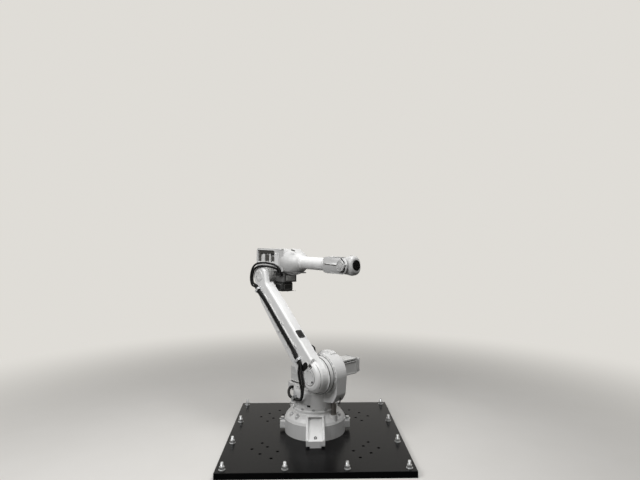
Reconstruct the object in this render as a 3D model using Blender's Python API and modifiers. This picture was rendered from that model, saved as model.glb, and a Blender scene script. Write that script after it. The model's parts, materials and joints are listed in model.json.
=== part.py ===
"""Six-axis industrial robot arm, bolted down on its square steel floor plate.

Metres, +Z up, origin at the middle of the plate's underside. Every link is modelled in
its own frame, an empty on its joint: x runs forward along the link, y to the robot's left
and z up. "Side" distances are counted from the robot's middle plane to its right, which
is the side that carries the lower arm.
"""
import math

import bmesh
import bpy
from mathutils import Matrix, Vector

NAME = "industrial_robot_arm"
GAP = 0.0003
HOSE_RADIUS = 0.008

PLATE_SIDE = 1.220
PLATE_THICKNESS = 0.040
PLATE_EDGE_BREAK = 0.0015
PLATE_HOLE_RADIUS = 0.011
OUTER_HOLE_CIRCLE = 0.510
OUTER_HOLE_ANGLES = (34.4, 45.0, 56.2)
INNER_HOLE_CIRCLE = 0.412
INNER_HOLE_ANGLES = (28.4, 38.6, 52.7)

BASE_Y = 0.035
SKIRT_RADIUS = 0.220
SKIRT_HEIGHT = 0.100
NECK_RADIUS = 0.163
NECK_HEIGHT = 0.158
RING_HEIGHT = 0.014
FOOT_REACH = 0.320
FOOT_WIDTH = 0.128
FOOT_HEIGHT = 0.044
CHUTE_WIDTH = 0.092
CHUTE_DEPTH = 0.016
FOOT_NOTCH = 0.026
LUG_REACH = 0.2555
LUG_WIDTH = 0.060
BOX_REACH = 0.356
BOX_WIDTH = 0.200
BOX_HEIGHT = 0.150
PANEL_THICKNESS = 0.006
STOP_PIN_RADIUS = 0.0185
STOP_PIN_CIRCLE = 0.188
STOP_PIN_ANGLE = -45.9
STOP_PIN_SEAT = 0.1565
DECK_PROFILE = ((0.172, 0.155), (0.196, 0.138), (0.213, 0.117))
DECK_BOSS_ANGLES = (118, 152, 208, 228, 332)

HEADING = -49.5
TURRET_NECK_RADIUS = 0.158
SHOULDER_FORWARD = 0.150
SHOULDER_HEIGHT = 0.445
SHOULDER_RADIUS = 0.140
SHOULDER_RIGHT = 0.050
SHOULDER_LEFT = 0.040
AXIS2_DRIVE_RADIUS = 0.1285
SHELF_TOP = SHOULDER_HEIGHT - AXIS2_DRIVE_RADIUS - 0.0015
SHELF_THICKNESS = 0.051
SHELF_BOTTOM = SHELF_TOP - SHELF_THICKNESS
SHELF_REAR = -0.245
SHELF_RIGHT = 0.075
SHELF_LEFT = 0.100
WEB_UNDERSIDE = SHELF_TOP - 0.068
WEB_REACH = 0.130
STOP_PIN_TOP = WEB_UNDERSIDE - 0.012
BRACKET_HEIGHT = SHELF_TOP - 0.057
COVER_THICKNESS = 0.013
COVER_REAR = 0.098
COVER_FRONT = 0.040
COVER_RIGHT = 0.022
COVER_LEFT = 0.034
CABLE_RADIUS = 0.006
AXIS2_MOTOR_SIDE = 0.110
AXIS2_MOTOR_LENGTH = 0.195
AXIS2_CAP_LENGTH = 0.035
AXIS2_MOTOR_RISE = 0.020
AXIS1_MOTOR_X = -0.163
AXIS1_MOTOR_Y = 0.015
AXIS1_MOTOR_SIDE = 0.130
AXIS1_MOTOR_TOP = 0.440
AXIS1_CAP_TOP = 0.500

ARM_LEAN = -42.3
ARM_LENGTH = 0.900
ARM_INNER = 0.110
ARM_OUTER = 0.185
ARM_FOOT_RADIUS = 0.110
ARM_TOP_RADIUS = 0.080
ARM_ROUNDING = 0.014
ARM_THIN_INNER = 0.145
ELBOW_RELIEF = 0.098
CHANNEL_FLOOR = 0.175
CHANNEL_WIDTH = 0.050
CHANNEL_LOW = 0.175
CHANNEL_HIGH = ARM_LENGTH - 0.110
CLAMP_LOW = 0.148
CLAMP_HIGH = ARM_LENGTH - 0.078
SHOULDER_DISC_RADIUS = 0.074
SHOULDER_BOWL_DEPTH = 0.034
HOSE_PITCH = 0.020

FOREARM_PITCH = 1.2
ELBOW_OFFSET = 0.115
ELBOW_DRIVE_RADIUS = 0.078
ELBOW_DRIVE_LEFT = 0.060
ELBOW_SPLIT = 0.100
HOUSE_REAR = -0.172
HOUSE_FRONT = 0.190
HOUSE_TOP = 0.100
HOUSE_HALF_WIDTH = 0.095
HOUSE_REAR_BOTTOM = -0.050
HOUSE_FRONT_BOTTOM = -0.075
DOME_RADIUS = 0.104
DOME_END = 0.320
DOME_NOSE_RADIUS = 0.052
RECESS_REAR = -0.152
RECESS_FRONT = 0.078
RECESS_BOTTOM = -0.012
RECESS_TOP = 0.086
RECESS_INNER = 0.020
AXIS3_MOTOR_REAR = 0.065
AXIS3_MOTOR_FRONT = 0.185
AXIS3_CAP_REAR = 0.060
AXIS3_CAP_FRONT = 0.160
AXIS3_CAP_RIGHT = 0.075
AXIS3_CAP_LEFT = 0.032
AXIS3_MOTOR_RIGHT = 0.080
AXIS3_MOTOR_LEFT = 0.045
AXIS3_MOTOR_BOTTOM = -0.158
AXIS3_CAP_BOTTOM = -0.232
ELBOW_PLUG_SIDE = 0.106
ELBOW_PLUG_TOP = -0.086
ELBOW_PLUG_REAR = 0.128
ELBOW_PLUG_FRONT = 0.176

FOREARM_LENGTH = 0.795
TUBE_RADIUS = 0.0465
TUBE_END = 0.592
WRIST_HALF_HEIGHT = 0.056
WRIST_HALF_WIDTH = 0.070
FORK_HALF_GAP = 0.0555
FORK_RELIEF = 0.100
WRIST_COVER_RADIUS = 0.037
WRIST_COVER_THICKNESS = 0.007

TOOL_PITCH = -4.5
HAND_HALF_WIDTH = 0.050
HAND_HUB_RADIUS = 0.058
HAND_FRONT = 0.080
HAND_HALF_HEIGHT = 0.067
HAND_OVAL_WIDTH = 0.052
HAND_OVAL_HEIGHT = 0.069
FLANGE_RADIUS = 0.0315
FLANGE_REACH = 0.085

PAINT = ("white_paint", (0.80, 0.80, 0.79), 0.42, 0.0)
DARK_PAINT = ("dark_paint", (0.10, 0.10, 0.10), 0.50, 0.0)
MOTOR_PAINT = ("motor_paint", (0.62, 0.62, 0.61), 0.45, 0.0)
PLATE_PAINT = ("plate_paint", (0.020, 0.020, 0.022), 0.35, 0.0)
RUBBER = ("black_rubber", (0.015, 0.015, 0.015), 0.55, 0.0)
PLASTIC = ("black_plastic", (0.02, 0.02, 0.02), 0.45, 0.0)
STEEL = ("dark_steel", (0.22, 0.21, 0.20), 0.38, 0.9)
ZINC = ("zinc", (0.62, 0.63, 0.64), 0.30, 1.0)

SIDE_VIEW = (math.radians(90), 0, 0)
FRONT_FOOT_VIEW = (math.radians(90), 0, math.radians(-90))
FORWARD_VIEW = (math.radians(90), 0, math.radians(90))
ALONG_X = (0, math.radians(90), 0)
ALONG_Y = (math.radians(90), 0, 0)


def clear_scene():
    """Remove every object, so that the script starts from an empty scene."""
    for thing in list(bpy.data.objects):
        bpy.data.objects.remove(thing, do_unlink=True)


def new_collection(name):
    """A collection linked to the scene."""
    group = bpy.data.collections.new(name)
    bpy.context.scene.collection.children.link(group)
    return group


def material(finish):
    """The Principled material of a finish, made once."""
    name, colour, roughness, metallic = finish
    if name in bpy.data.materials:
        return bpy.data.materials[name]
    made = bpy.data.materials.new(name)
    made.use_nodes = True
    shader = made.node_tree.nodes["Principled BSDF"]
    shader.inputs["Base Color"].default_value = (*colour, 1)
    shader.inputs["Roughness"].default_value = roughness
    shader.inputs["Metallic"].default_value = metallic
    return made


def place(thing, parent, at=(0, 0, 0), turn=(0, 0, 0)):
    """Put an object at a place and turn in its parent's frame."""
    thing.parent = parent
    thing.location = at
    thing.rotation_euler = turn
    return thing


def new_object(name, data, finish, parent, at, turn):
    """A visible part, or a hidden cutter where the finish is None."""
    thing = bpy.data.objects.new(name, data)
    if finish is None:
        cutters.objects.link(thing)
        thing.hide_render = True
        thing.display_type = "WIRE"
    else:
        parts.objects.link(thing)
        data.materials.append(material(finish))
    return place(thing, parent, at, turn)


def empty(name, parent, at=(0, 0, 0), turn=(0, 0, 0)):
    """An empty that carries a link, on its joint."""
    thing = bpy.data.objects.new(name, None)
    thing.empty_display_size = 0.1
    parts.objects.link(thing)
    return place(thing, parent, at, turn)


def mesh_from(name, bm, smooth_angle=35):
    """Write a bmesh into a new mesh, shaded smooth up to an angle."""
    mesh = bpy.data.meshes.new(name)
    bm.to_mesh(mesh)
    bm.free()
    mesh.shade_smooth()
    mesh.set_sharp_from_angle(angle=math.radians(smooth_angle))
    return mesh


def box(name, low, high, finish, parent, bevel=0.0, segments=2):
    """A block between two corners of its parent's frame, its edges rounded by bevel."""
    low, high = Vector(low), Vector(high)
    bm = bmesh.new()
    bmesh.ops.create_cube(bm, size=1.0, matrix=Matrix.Diagonal((*(high - low), 1)))
    thing = new_object(name, mesh_from(name, bm), finish, parent, (low + high) / 2, (0, 0, 0))
    if bevel:
        round_off(thing, bevel, segments)
    return thing


def cylinder(name, radius, length, finish, parent, at, turn=(0, 0, 0), sides=32, bevel=0.0):
    """A cylinder about its own z axis, its middle at a place."""
    bm = bmesh.new()
    bmesh.ops.create_cone(bm, cap_ends=True, segments=sides, radius1=radius, radius2=radius,
                          depth=length)
    thing = new_object(name, mesh_from(name, bm), finish, parent, at, turn)
    if bevel:
        round_off(thing, bevel, 2)
    return thing


def drum(name, radius, inner, outer, finish, parent, x=0.0, z=0.0, sides=40, bevel=0.0):
    """A cylinder across the link, between two side distances."""
    middle = (x, -(inner + outer) / 2, z)
    return cylinder(name, radius, outer - inner, finish, parent, middle, ALONG_Y, sides, bevel)


def turned(name, profile, finish, parent, at=(0, 0, 0), turn=(0, 0, 0), steps=40):
    """A solid of revolution about z; the profile of (radius, z) runs from top to bottom."""
    bm = bmesh.new()
    corners = [bm.verts.new((radius, 0, z)) for radius, z in profile]
    for above, below in zip(corners, corners[1:]):
        bm.edges.new((above, below))
    thing = new_object(name, mesh_from(name, bm), finish, parent, at, turn)
    screw = thing.modifiers.new("Screw", "SCREW")
    screw.steps = steps
    screw.render_steps = steps
    screw.use_merge_vertices = True
    screw.merge_threshold = 0.00001
    return thing


def rounded(corners, steps=5):
    """Points of a closed outline whose corners (x, y, radius) are arcs."""
    points = []
    for index, (x, y, radius) in enumerate(corners):
        here = Vector((x, y))
        if radius == 0:
            points.append(here)
            continue
        back = (Vector(corners[index - 1][:2]) - here).normalized()
        ahead = (Vector(corners[(index + 1) % len(corners)][:2]) - here).normalized()
        half = back.angle(ahead) / 2
        centre = here + (back + ahead).normalized() * radius / math.sin(half)
        reach = radius / math.tan(half)
        first = here + back * reach - centre
        last = here + ahead * reach - centre
        start = math.atan2(first.y, first.x)
        sweep = (math.atan2(last.y, last.x) - start + math.pi) % math.tau - math.pi
        for step in range(steps + 1):
            angle = start + sweep * step / steps
            points.append(centre + radius * Vector((math.cos(angle), math.sin(angle))))
    return points


def arc(centre_x, centre_y, radius, start, end, steps):
    """Points on an arc, its angles in degrees."""
    angles = [math.radians(start + (end - start) * step / steps) for step in range(steps + 1)]
    return [Vector((centre_x + radius * math.cos(a), centre_y + radius * math.sin(a)))
            for a in angles]


def curve_to_mesh(name, curve, finish, parent, at, turn):
    """A curve made into a welded mesh object at the same place."""
    source = bpy.data.objects.new(name + "_curve", curve)
    bpy.context.scene.collection.objects.link(source)
    evaluated = source.evaluated_get(bpy.context.evaluated_depsgraph_get())
    mesh = bpy.data.meshes.new_from_object(evaluated)
    bpy.data.objects.remove(source, do_unlink=True)
    bm = bmesh.new()
    bm.from_mesh(mesh)
    bmesh.ops.remove_doubles(bm, verts=bm.verts, dist=0.00001)
    bpy.data.meshes.remove(mesh)
    return new_object(name, mesh_from(name, bm), finish, parent, at, turn)


def slab(name, outline, thickness, finish, parent, at=(0, 0, 0), turn=(0, 0, 0)):
    """A flat outline given a thickness, half to each side of its own plane."""
    curve = bpy.data.curves.new(name, "CURVE")
    curve.dimensions = "2D"
    curve.fill_mode = "BOTH"
    curve.extrude = thickness / 2
    spline = curve.splines.new("POLY")
    spline.points.add(len(outline) - 1)
    for point, (x, y) in zip(spline.points, outline):
        point.co = (x, y, 0, 1)
    spline.use_cyclic_u = True
    return curve_to_mesh(name, curve, finish, parent, at, turn)


def side_slab(name, outline, inner, outer, finish, parent):
    """An outline of (x, z) points standing between two side distances."""
    return slab(name, outline, outer - inner, finish, parent, (0, -(inner + outer) / 2, 0), SIDE_VIEW)


def round_off(thing, width, segments=2, angle=40):
    """Round an object's sharp edges with a live Bevel."""
    bevel = thing.modifiers.new("Bevel", "BEVEL")
    bevel.width = width
    bevel.segments = segments
    bevel.limit_method = "ANGLE"
    bevel.angle_limit = math.radians(angle)
    return bevel


def round_rim(thing, height, width, segments):
    """Round the edges that lie in the plane at one height of the object's own z."""
    bm = bmesh.new()
    bm.from_mesh(thing.data)
    rim = [edge for edge in bm.edges
           if all(abs(vert.co.z - height) < 0.00001 for vert in edge.verts) and not_inside(edge)]
    bmesh.ops.bevel(bm, geom=rim, offset=width, segments=segments, profile=0.5, affect="EDGES")
    bm.to_mesh(thing.data)
    bm.free()
    thing.data.shade_smooth()
    thing.data.set_sharp_from_angle(angle=math.radians(35))


def not_inside(edge):
    """True for an edge between two faces that aren't in one plane."""
    if len(edge.link_faces) != 2:
        return False
    return edge.link_faces[0].normal.angle(edge.link_faces[1].normal, 0) > 0.3


def combine(thing, tool, operation):
    """Boolean an object with a hidden tool, exactly."""
    step = thing.modifiers.new(operation.title(), "BOOLEAN")
    step.object = tool
    step.operation = operation
    step.solver = "EXACT"
    return thing


def cut(thing, *tools):
    """Cut hidden tools out of an object."""
    for tool in tools:
        combine(thing, tool, "DIFFERENCE")
    return thing


def join(thing, *tools):
    """Fuse hidden tools into an object."""
    for tool in tools:
        combine(thing, tool, "UNION")
    return thing


def smooth_route(knots, spacing):
    """Points along a Catmull-Rom curve through the knots, about a spacing apart."""
    knots = [Vector(knot) for knot in knots]
    ends = [2 * knots[0] - knots[1]] + knots + [2 * knots[-1] - knots[-2]]
    points = []
    for before, here, there, after in zip(ends, ends[1:], ends[2:], ends[3:]):
        count = max(1, round((there - here).length / spacing))
        for step in range(count):
            t = step / count
            points.append(0.5 * (2 * here + (there - before) * t
                                 + (2 * before - 5 * here + 4 * there - after) * t ** 2
                                 + (3 * here - before - 3 * there + after) * t ** 3))
    points.append(knots[-1])
    return points


def hose(name, knots, parent, radius=HOSE_RADIUS, finish=RUBBER, spacing=0.036):
    """A hose through knots of (forward, side, up)."""
    route = smooth_route([(x, -side, z) for x, side, z in knots], spacing)
    curve = bpy.data.curves.new(name, "CURVE")
    curve.dimensions = "3D"
    curve.bevel_depth = radius
    curve.bevel_resolution = 2
    curve.use_fill_caps = True
    spline = curve.splines.new("POLY")
    spline.points.add(len(route) - 1)
    for point, place_on_route in zip(spline.points, route):
        point.co = (*place_on_route, 1)
    return new_object(name, curve, finish, parent, (0, 0, 0), (0, 0, 0))


def polar(radius, degrees):
    """The x and y of a point at a radius and an angle."""
    return radius * math.cos(math.radians(degrees)), radius * math.sin(math.radians(degrees))


def floor_plate():
    """The black steel plate, with its bolt holes mirrored into all four quadrants."""
    half = PLATE_SIDE / 2
    plate = box("floor_plate", (-half, -half, 0), (half, half, PLATE_THICKNESS), PLATE_PAINT,
                None, PLATE_EDGE_BREAK, 1)
    circles = [(OUTER_HOLE_CIRCLE, angle) for angle in OUTER_HOLE_ANGLES]
    circles += [(INNER_HOLE_CIRCLE, angle) for angle in INNER_HOLE_ANGLES]
    bm = bmesh.new()
    for radius, angle in circles:
        x, y = polar(radius, angle)
        for sign_x, sign_y in ((1, 1), (-1, 1), (-1, -1), (1, -1)):
            middle = Matrix.Translation((sign_x * x, sign_y * y, PLATE_THICKNESS / 2))
            bmesh.ops.create_cone(bm, cap_ends=True, segments=12, radius1=PLATE_HOLE_RADIUS,
                                  radius2=PLATE_HOLE_RADIUS, depth=2 * PLATE_THICKNESS,
                                  matrix=middle)
    holes = new_object("plate_holes", mesh_from("plate_holes", bm), None, None, (0, 0, 0),
                       (0, 0, 0))
    cut(plate, holes)


def base_casting(seat):
    """The fixed foot: skirt, sloping deck, front foot with its chute, lugs and rear box."""
    profile = [(0, NECK_HEIGHT), (NECK_RADIUS, NECK_HEIGHT), *DECK_PROFILE,
               (SKIRT_RADIUS, SKIRT_HEIGHT), (SKIRT_RADIUS, 0), (0, 0)]
    casting = turned("base_casting", profile, PAINT, seat, steps=48)
    wedge = [(0.10, 0), (FOOT_REACH, 0), (FOOT_REACH, FOOT_HEIGHT), (0.214, 0.124),
             (NECK_RADIUS, NECK_HEIGHT - 0.002), (0.10, NECK_HEIGHT - 0.002)]
    foot = slab("foot_block", wedge, FOOT_WIDTH, None, seat, turn=FRONT_FOOT_VIEW)
    floor_line = [(0.168, NECK_HEIGHT - 0.004 - CHUTE_DEPTH), (0.214, 0.124 - CHUTE_DEPTH),
                  (FOOT_REACH - 0.012, FOOT_HEIGHT + 0.008 - CHUTE_DEPTH),
                  (FOOT_REACH - 0.012, 0.3), (0.168, 0.3)]
    chute = slab("foot_chute", floor_line, CHUTE_WIDTH, None, seat, turn=FRONT_FOOT_VIEW)
    notches = []
    for side in (-1, 1):
        near, far = sorted((side * (FOOT_WIDTH / 2 - FOOT_NOTCH), side * FOOT_WIDTH))
        notches.append(box("foot_notch", (near, -FOOT_REACH - 0.02, -0.01),
                           (far, -FOOT_REACH + 0.022, 0.013), None, seat))
    lugs = []
    for side in (-1, 1):
        near, far = sorted((side * 0.15, side * LUG_REACH))
        lugs.append(box("base_lug", (near, -LUG_WIDTH / 2, 0.016), (far, LUG_WIDTH / 2, 0.077),
                        None, seat, 0.010))
    housing = box("rear_box", (-BOX_WIDTH / 2, 0.10, 0.0), (BOX_WIDTH / 2, BOX_REACH, BOX_HEIGHT),
                  None, seat, 0.008)
    x, y = polar(STOP_PIN_CIRCLE, STOP_PIN_ANGLE)
    boss = cylinder("stop_pin_boss", STOP_PIN_RADIUS + 0.008, 0.07, None, seat,
                    (x, y, STOP_PIN_SEAT - 0.035), sides=20)
    pads = []
    for angle in DECK_BOSS_ANGLES:
        x, y = polar(STOP_PIN_CIRCLE, angle)
        pads.append(cylinder("deck_pad", 0.017, 0.05, None, seat, (x, y, 0.125), sides=16))
    join(casting, foot, housing, *lugs, *pads, boss)
    cut(casting, chute, *notches)


def base_fittings(seat):
    """What the foot carries: bearing ring, stop pin, and the connectors at the rear."""
    cylinder("axis1_bearing_ring", NECK_RADIUS - 0.003, RING_HEIGHT - GAP, DARK_PAINT, seat,
             (0, 0, NECK_HEIGHT + RING_HEIGHT / 2 + GAP / 2), sides=48)
    x, y = polar(STOP_PIN_CIRCLE, STOP_PIN_ANGLE)
    length = STOP_PIN_TOP - STOP_PIN_SEAT - GAP
    cylinder("axis1_stop_pin", STOP_PIN_RADIUS, length, STEEL, seat,
             (x, y, STOP_PIN_TOP - length / 2), sides=24, bevel=0.002)
    rear = BOX_REACH + GAP
    box("connection_panel", (-0.085, rear, 0.018), (0.085, rear + PANEL_THICKNESS, 0.132), ZINC,
        seat)
    outside = rear + PANEL_THICKNESS + GAP
    for name, x, radius, length in (("power_connector", -0.040, 0.024, 0.030),
                                    ("signal_connector", 0.035, 0.018, 0.026)):
        cylinder(name, radius, length, PLASTIC, seat, (x, outside + length / 2, 0.080), ALONG_Y,
                 20, 0.002)


def turret_casting(turret):
    """The turning frame: round neck, overhanging slab and the upright shoulder drum."""
    start = NECK_HEIGHT + RING_HEIGHT + GAP
    profile = [(0, SHELF_TOP), (TURRET_NECK_RADIUS - 0.014, SHELF_TOP),
               (TURRET_NECK_RADIUS - 0.004, SHELF_TOP - 0.004),
               (TURRET_NECK_RADIUS, SHELF_TOP - 0.014), (TURRET_NECK_RADIUS, start + 0.014),
               (NECK_RADIUS, start + 0.009), (NECK_RADIUS, start), (0, start)]
    casting = turned("turret_casting", profile, PAINT, turret, steps=48)
    plan = rounded([(SHELF_REAR, -SHELF_RIGHT, 0.035), (0, -SHELF_RIGHT, 0),
                    (0, SHELF_LEFT, 0), (SHELF_REAR, SHELF_LEFT, 0.035)])
    shelf = slab("turret_shelf", plan, SHELF_THICKNESS, None, turret,
                 (0, 0, SHELF_TOP - 0.002 - SHELF_THICKNESS / 2))
    round_off(shelf, 0.008)
    rear = SHOULDER_FORWARD - SHOULDER_RADIUS
    front = SHOULDER_FORWARD + SHOULDER_RADIUS
    crown = arc(SHOULDER_FORWARD, SHOULDER_HEIGHT, SHOULDER_RADIUS, -8, 180, 30)
    side = rounded([(rear - 0.06, WEB_UNDERSIDE, 0), (SHOULDER_FORWARD, WEB_UNDERSIDE, 0),
                    (front - 0.045, WEB_UNDERSIDE + 0.017, 0.02),
                    (front - 0.012, SHOULDER_HEIGHT - WEB_REACH, 0.05),
                    *((*point, 0) for point in crown), (rear, SHOULDER_HEIGHT - 0.03, 0.04)], 5)
    upright = side_slab("turret_upright", side, -SHOULDER_LEFT, SHOULDER_RIGHT, None, turret)
    join(casting, shelf, upright)


def turret_fittings(turret):
    """Axis 1 and axis 2 drives, the shoulder's top cover and the hose bracket."""
    drum("axis2_gearbox", AXIS2_DRIVE_RADIUS, SHOULDER_RIGHT + GAP, ARM_INNER - GAP, PAINT, turret,
         SHOULDER_FORWARD, SHOULDER_HEIGHT, 48, 0.004)
    half = AXIS2_MOTOR_SIDE / 2
    z = SHOULDER_HEIGHT + AXIS2_MOTOR_RISE
    start = SHOULDER_LEFT + GAP
    end = start + AXIS2_MOTOR_LENGTH
    box("axis2_motor", (SHOULDER_FORWARD - half, start, z - half),
        (SHOULDER_FORWARD + half, end, z + half), MOTOR_PAINT, turret, 0.008)
    cap = half - 0.006
    box("axis2_motor_cap", (SHOULDER_FORWARD - cap, end + GAP, z - cap),
        (SHOULDER_FORWARD + cap, end + AXIS2_CAP_LENGTH, z + cap), MOTOR_PAINT, turret, 0.010)
    half = AXIS1_MOTOR_SIDE / 2
    x, y = AXIS1_MOTOR_X, AXIS1_MOTOR_Y
    box("axis1_motor", (x - half, y - half, SHELF_TOP + GAP), (x + half, y + half, AXIS1_MOTOR_TOP),
        MOTOR_PAINT, turret, 0.016)
    cap = half - 0.008
    box("axis1_motor_cap", (x - cap, y - cap, AXIS1_MOTOR_TOP + GAP),
        (x + cap, y + cap, AXIS1_CAP_TOP), MOTOR_PAINT, turret, 0.014)


def shoulder_top(turret):
    """The plate over the shoulder's drive and the cable that lies across it."""
    x = SHOULDER_FORWARD
    z = SHOULDER_HEIGHT
    crest = SHOULDER_RADIUS + COVER_THICKNESS
    outline = rounded([(x - COVER_REAR, z + 0.10, 0), (x + COVER_FRONT, z + 0.10, 0),
                       (x + COVER_FRONT, z + crest - 0.012, 0), (x + 0.012, z + crest, 0.02),
                       (x - 0.050, z + crest, 0.02), (x - COVER_REAR, z + crest - 0.034, 0.008)], 4)
    cover = side_slab("shoulder_cover", outline, -COVER_LEFT, COVER_RIGHT, PAINT, turret)
    body = drum("cover_seat", SHOULDER_RADIUS + GAP, -0.2, 0.2, None, turret, x, z, 64)
    cut(cover, body)
    high = z + SHOULDER_RADIUS + CABLE_RADIUS + 0.003
    end = x - COVER_REAR - 0.014
    hose("shoulder_cable", [(AXIS1_MOTOR_X + 0.010, -0.002, AXIS1_CAP_TOP + GAP),
                            (AXIS1_MOTOR_X + 0.010, -0.002, AXIS1_CAP_TOP + 0.022),
                            (AXIS1_MOTOR_X + 0.045, 0.000, high - 0.012),
                            (-0.055, 0.004, high + 0.014), (0.0, 0.006, high + 0.004),
                            (end - 0.022, 0.006, z + crest - 0.046), (end, 0.006, z + crest - 0.052)],
         turret, radius=CABLE_RADIUS)


def lower_arm(arm):
    """The lower arm: a tapered beam with round ends, relieved for the elbow's drive."""
    front = [(0.088, 0.22 * ARM_LENGTH, 0.20), (0.052, 0.67 * ARM_LENGTH, 0.30),
             (0.030, ARM_LENGTH - 0.100, 0.05)]
    rear = [(-0.124, ARM_LENGTH - 0.160, 0.10), (-0.112, 0.44 * ARM_LENGTH, 0.20),
            (-0.100, 0.20 * ARM_LENGTH, 0.10)]
    foot = [(*point, 0) for point in arc(0, 0, ARM_FOOT_RADIUS, 183, 355, 16)]
    head = [(*point, 0) for point in arc(0, ARM_LENGTH, ARM_TOP_RADIUS, -12, 192, 20)]
    side = rounded(foot + front + head + rear, 4)
    beam = side_slab("lower_arm", side, ARM_INNER, ARM_OUTER, PAINT, arm)
    round_rim(beam, (ARM_OUTER - ARM_INNER) / 2, ARM_ROUNDING, 3)
    relief = drum("elbow_relief", ELBOW_RELIEF, ARM_INNER - 0.02, ARM_THIN_INNER, None, arm,
                  0, ARM_LENGTH)
    low = (hose_line(CHANNEL_LOW), CHANNEL_LOW)
    high = (hose_line(CHANNEL_HIGH), CHANNEL_HIGH)
    half = CHANNEL_WIDTH / 2
    trough = [(low[0] - half, low[1]), (low[0] + half, low[1]),
              (high[0] + half, high[1]), (high[0] - half, high[1])]
    channel = side_slab("hose_channel", trough, CHANNEL_FLOOR, ARM_OUTER + 0.02, None, arm)
    drop = ARM_OUTER - SHOULDER_BOWL_DEPTH
    bowl = turned("shoulder_bowl", [(SHOULDER_DISC_RADIUS, ARM_OUTER + 0.02), (0.16, ARM_OUTER + 0.02),
                                    (0.16, drop), (ARM_FOOT_RADIUS + 0.001, drop),
                                    (0.098, drop + 0.020), (0.088, drop + 0.029),
                                    (SHOULDER_DISC_RADIUS, ARM_OUTER - 0.0015),
                                    (SHOULDER_DISC_RADIUS, ARM_OUTER + 0.02)],
                  None, arm, turn=SIDE_VIEW)
    fan = [(0, 0), *arc(0, 0, 0.3, 38, 192, 6)]
    beam_side = side_slab("beam_side", fan, 0.1, 0.3, None, arm)
    cut(bowl, beam_side)
    pocket = box("shoulder_pocket", (0.040, -ARM_OUTER - 0.02, 0.030),
                 (0.070, -ARM_OUTER + 0.034, 0.066), None, arm, 0.003)
    cut(beam, relief, channel, bowl, pocket)


def hose_line(height):
    """Forward place of the hose bundle's middle at a height along the lower arm."""
    return -0.018 - 0.062 * (height - 0.16) / (ARM_LENGTH - 0.16)


def arm_hose_knots(shift):
    """The route of one hose along the lower arm, clamp to clamp."""
    sunk = CHANNEL_FLOOR + HOSE_RADIUS + GAP
    proud = ARM_OUTER + HOSE_RADIUS + GAP + 0.001
    stations = ((0.135, proud), (0.182, proud), (0.250, sunk), (ARM_LENGTH / 2, sunk),
                (ARM_LENGTH - 0.190, sunk), (ARM_LENGTH - 0.116, proud),
                (ARM_LENGTH - 0.065, proud))
    return [(hose_line(height) + shift, side, height) for height, side in stations]


def arm_hoses(arm):
    """The hoses clipped along the arm, and their loops over the shoulder and the elbow."""
    for name, shift in (("front", HOSE_PITCH / 2), ("rear", -HOSE_PITCH / 2)):
        knots = arm_hose_knots(shift)
        hose("arm_hose_" + name, knots, arm, spacing=1.0)
        side, z = knots[-1][1:]
        out = 1.15 * shift
        start = [(hose_line(z + up) + shift, side, z + up) for up in (GAP, 0.025)]
        loop = ((-0.098 + out, 0.1960, 0.005), (-0.068 + out * 0.8, 0.197, 0.052 - out * 0.8),
                (0.0, 0.197, 0.082 - out), (0.072 - out * 0.5, 0.194, 0.055 - out),
                (0.122 - out, 0.152, 0.008 - out * 0.6),
                (0.150 - out, 0.122, -0.040 - out * 0.2))
        elbow = [*start, *((x, side, ARM_LENGTH + z) for x, side, z in loop),
                 elbow_end(out, 0.020), elbow_end(out, 0)]
        hose("elbow_hose_" + name, elbow, arm)


def elbow_end(out, height):
    """Where an elbow hose meets its plug, seen in the lower arm's frame."""
    forward = (ELBOW_PLUG_REAR + ELBOW_PLUG_FRONT) / 2 - out
    up = ELBOW_PLUG_TOP + ELBOW_OFFSET + GAP + height
    turn = math.radians(FOREARM_PITCH - ARM_LEAN)
    return (forward * math.cos(turn) + up * math.sin(turn), ELBOW_PLUG_SIDE,
            ARM_LENGTH - forward * math.sin(turn) + up * math.cos(turn))


def arm_fittings(arm):
    """The clamps over the hoses and the fixed half of the elbow's gearbox."""
    for name, height in (("hose_clamp_lower", CLAMP_LOW), ("hose_clamp_upper", CLAMP_HIGH)):
        middle = hose_line(height)
        inside = HOSE_PITCH / 2 + HOSE_RADIUS + 0.002
        outside = inside + 0.004
        top = 2 * HOSE_RADIUS + 0.003
        feet = outside + 0.010
        strap = [(-feet, GAP), (-inside, GAP), (-inside, top), (inside, top), (inside, GAP),
                 (feet, GAP), (feet, 0.004), (outside, 0.004), (outside, top + 0.004),
                 (-outside, top + 0.004), (-outside, 0.004), (-feet, 0.004)]
        slab(name, strap, 0.018, ZINC, arm, (middle, -ARM_OUTER, height),
             (0, 0, math.radians(180)))
    drum("axis3_gearbox", ELBOW_DRIVE_RADIUS, ELBOW_SPLIT + GAP, ARM_THIN_INNER - GAP, DARK_PAINT,
         arm, 0, ARM_LENGTH, 40, 0.004)


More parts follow.
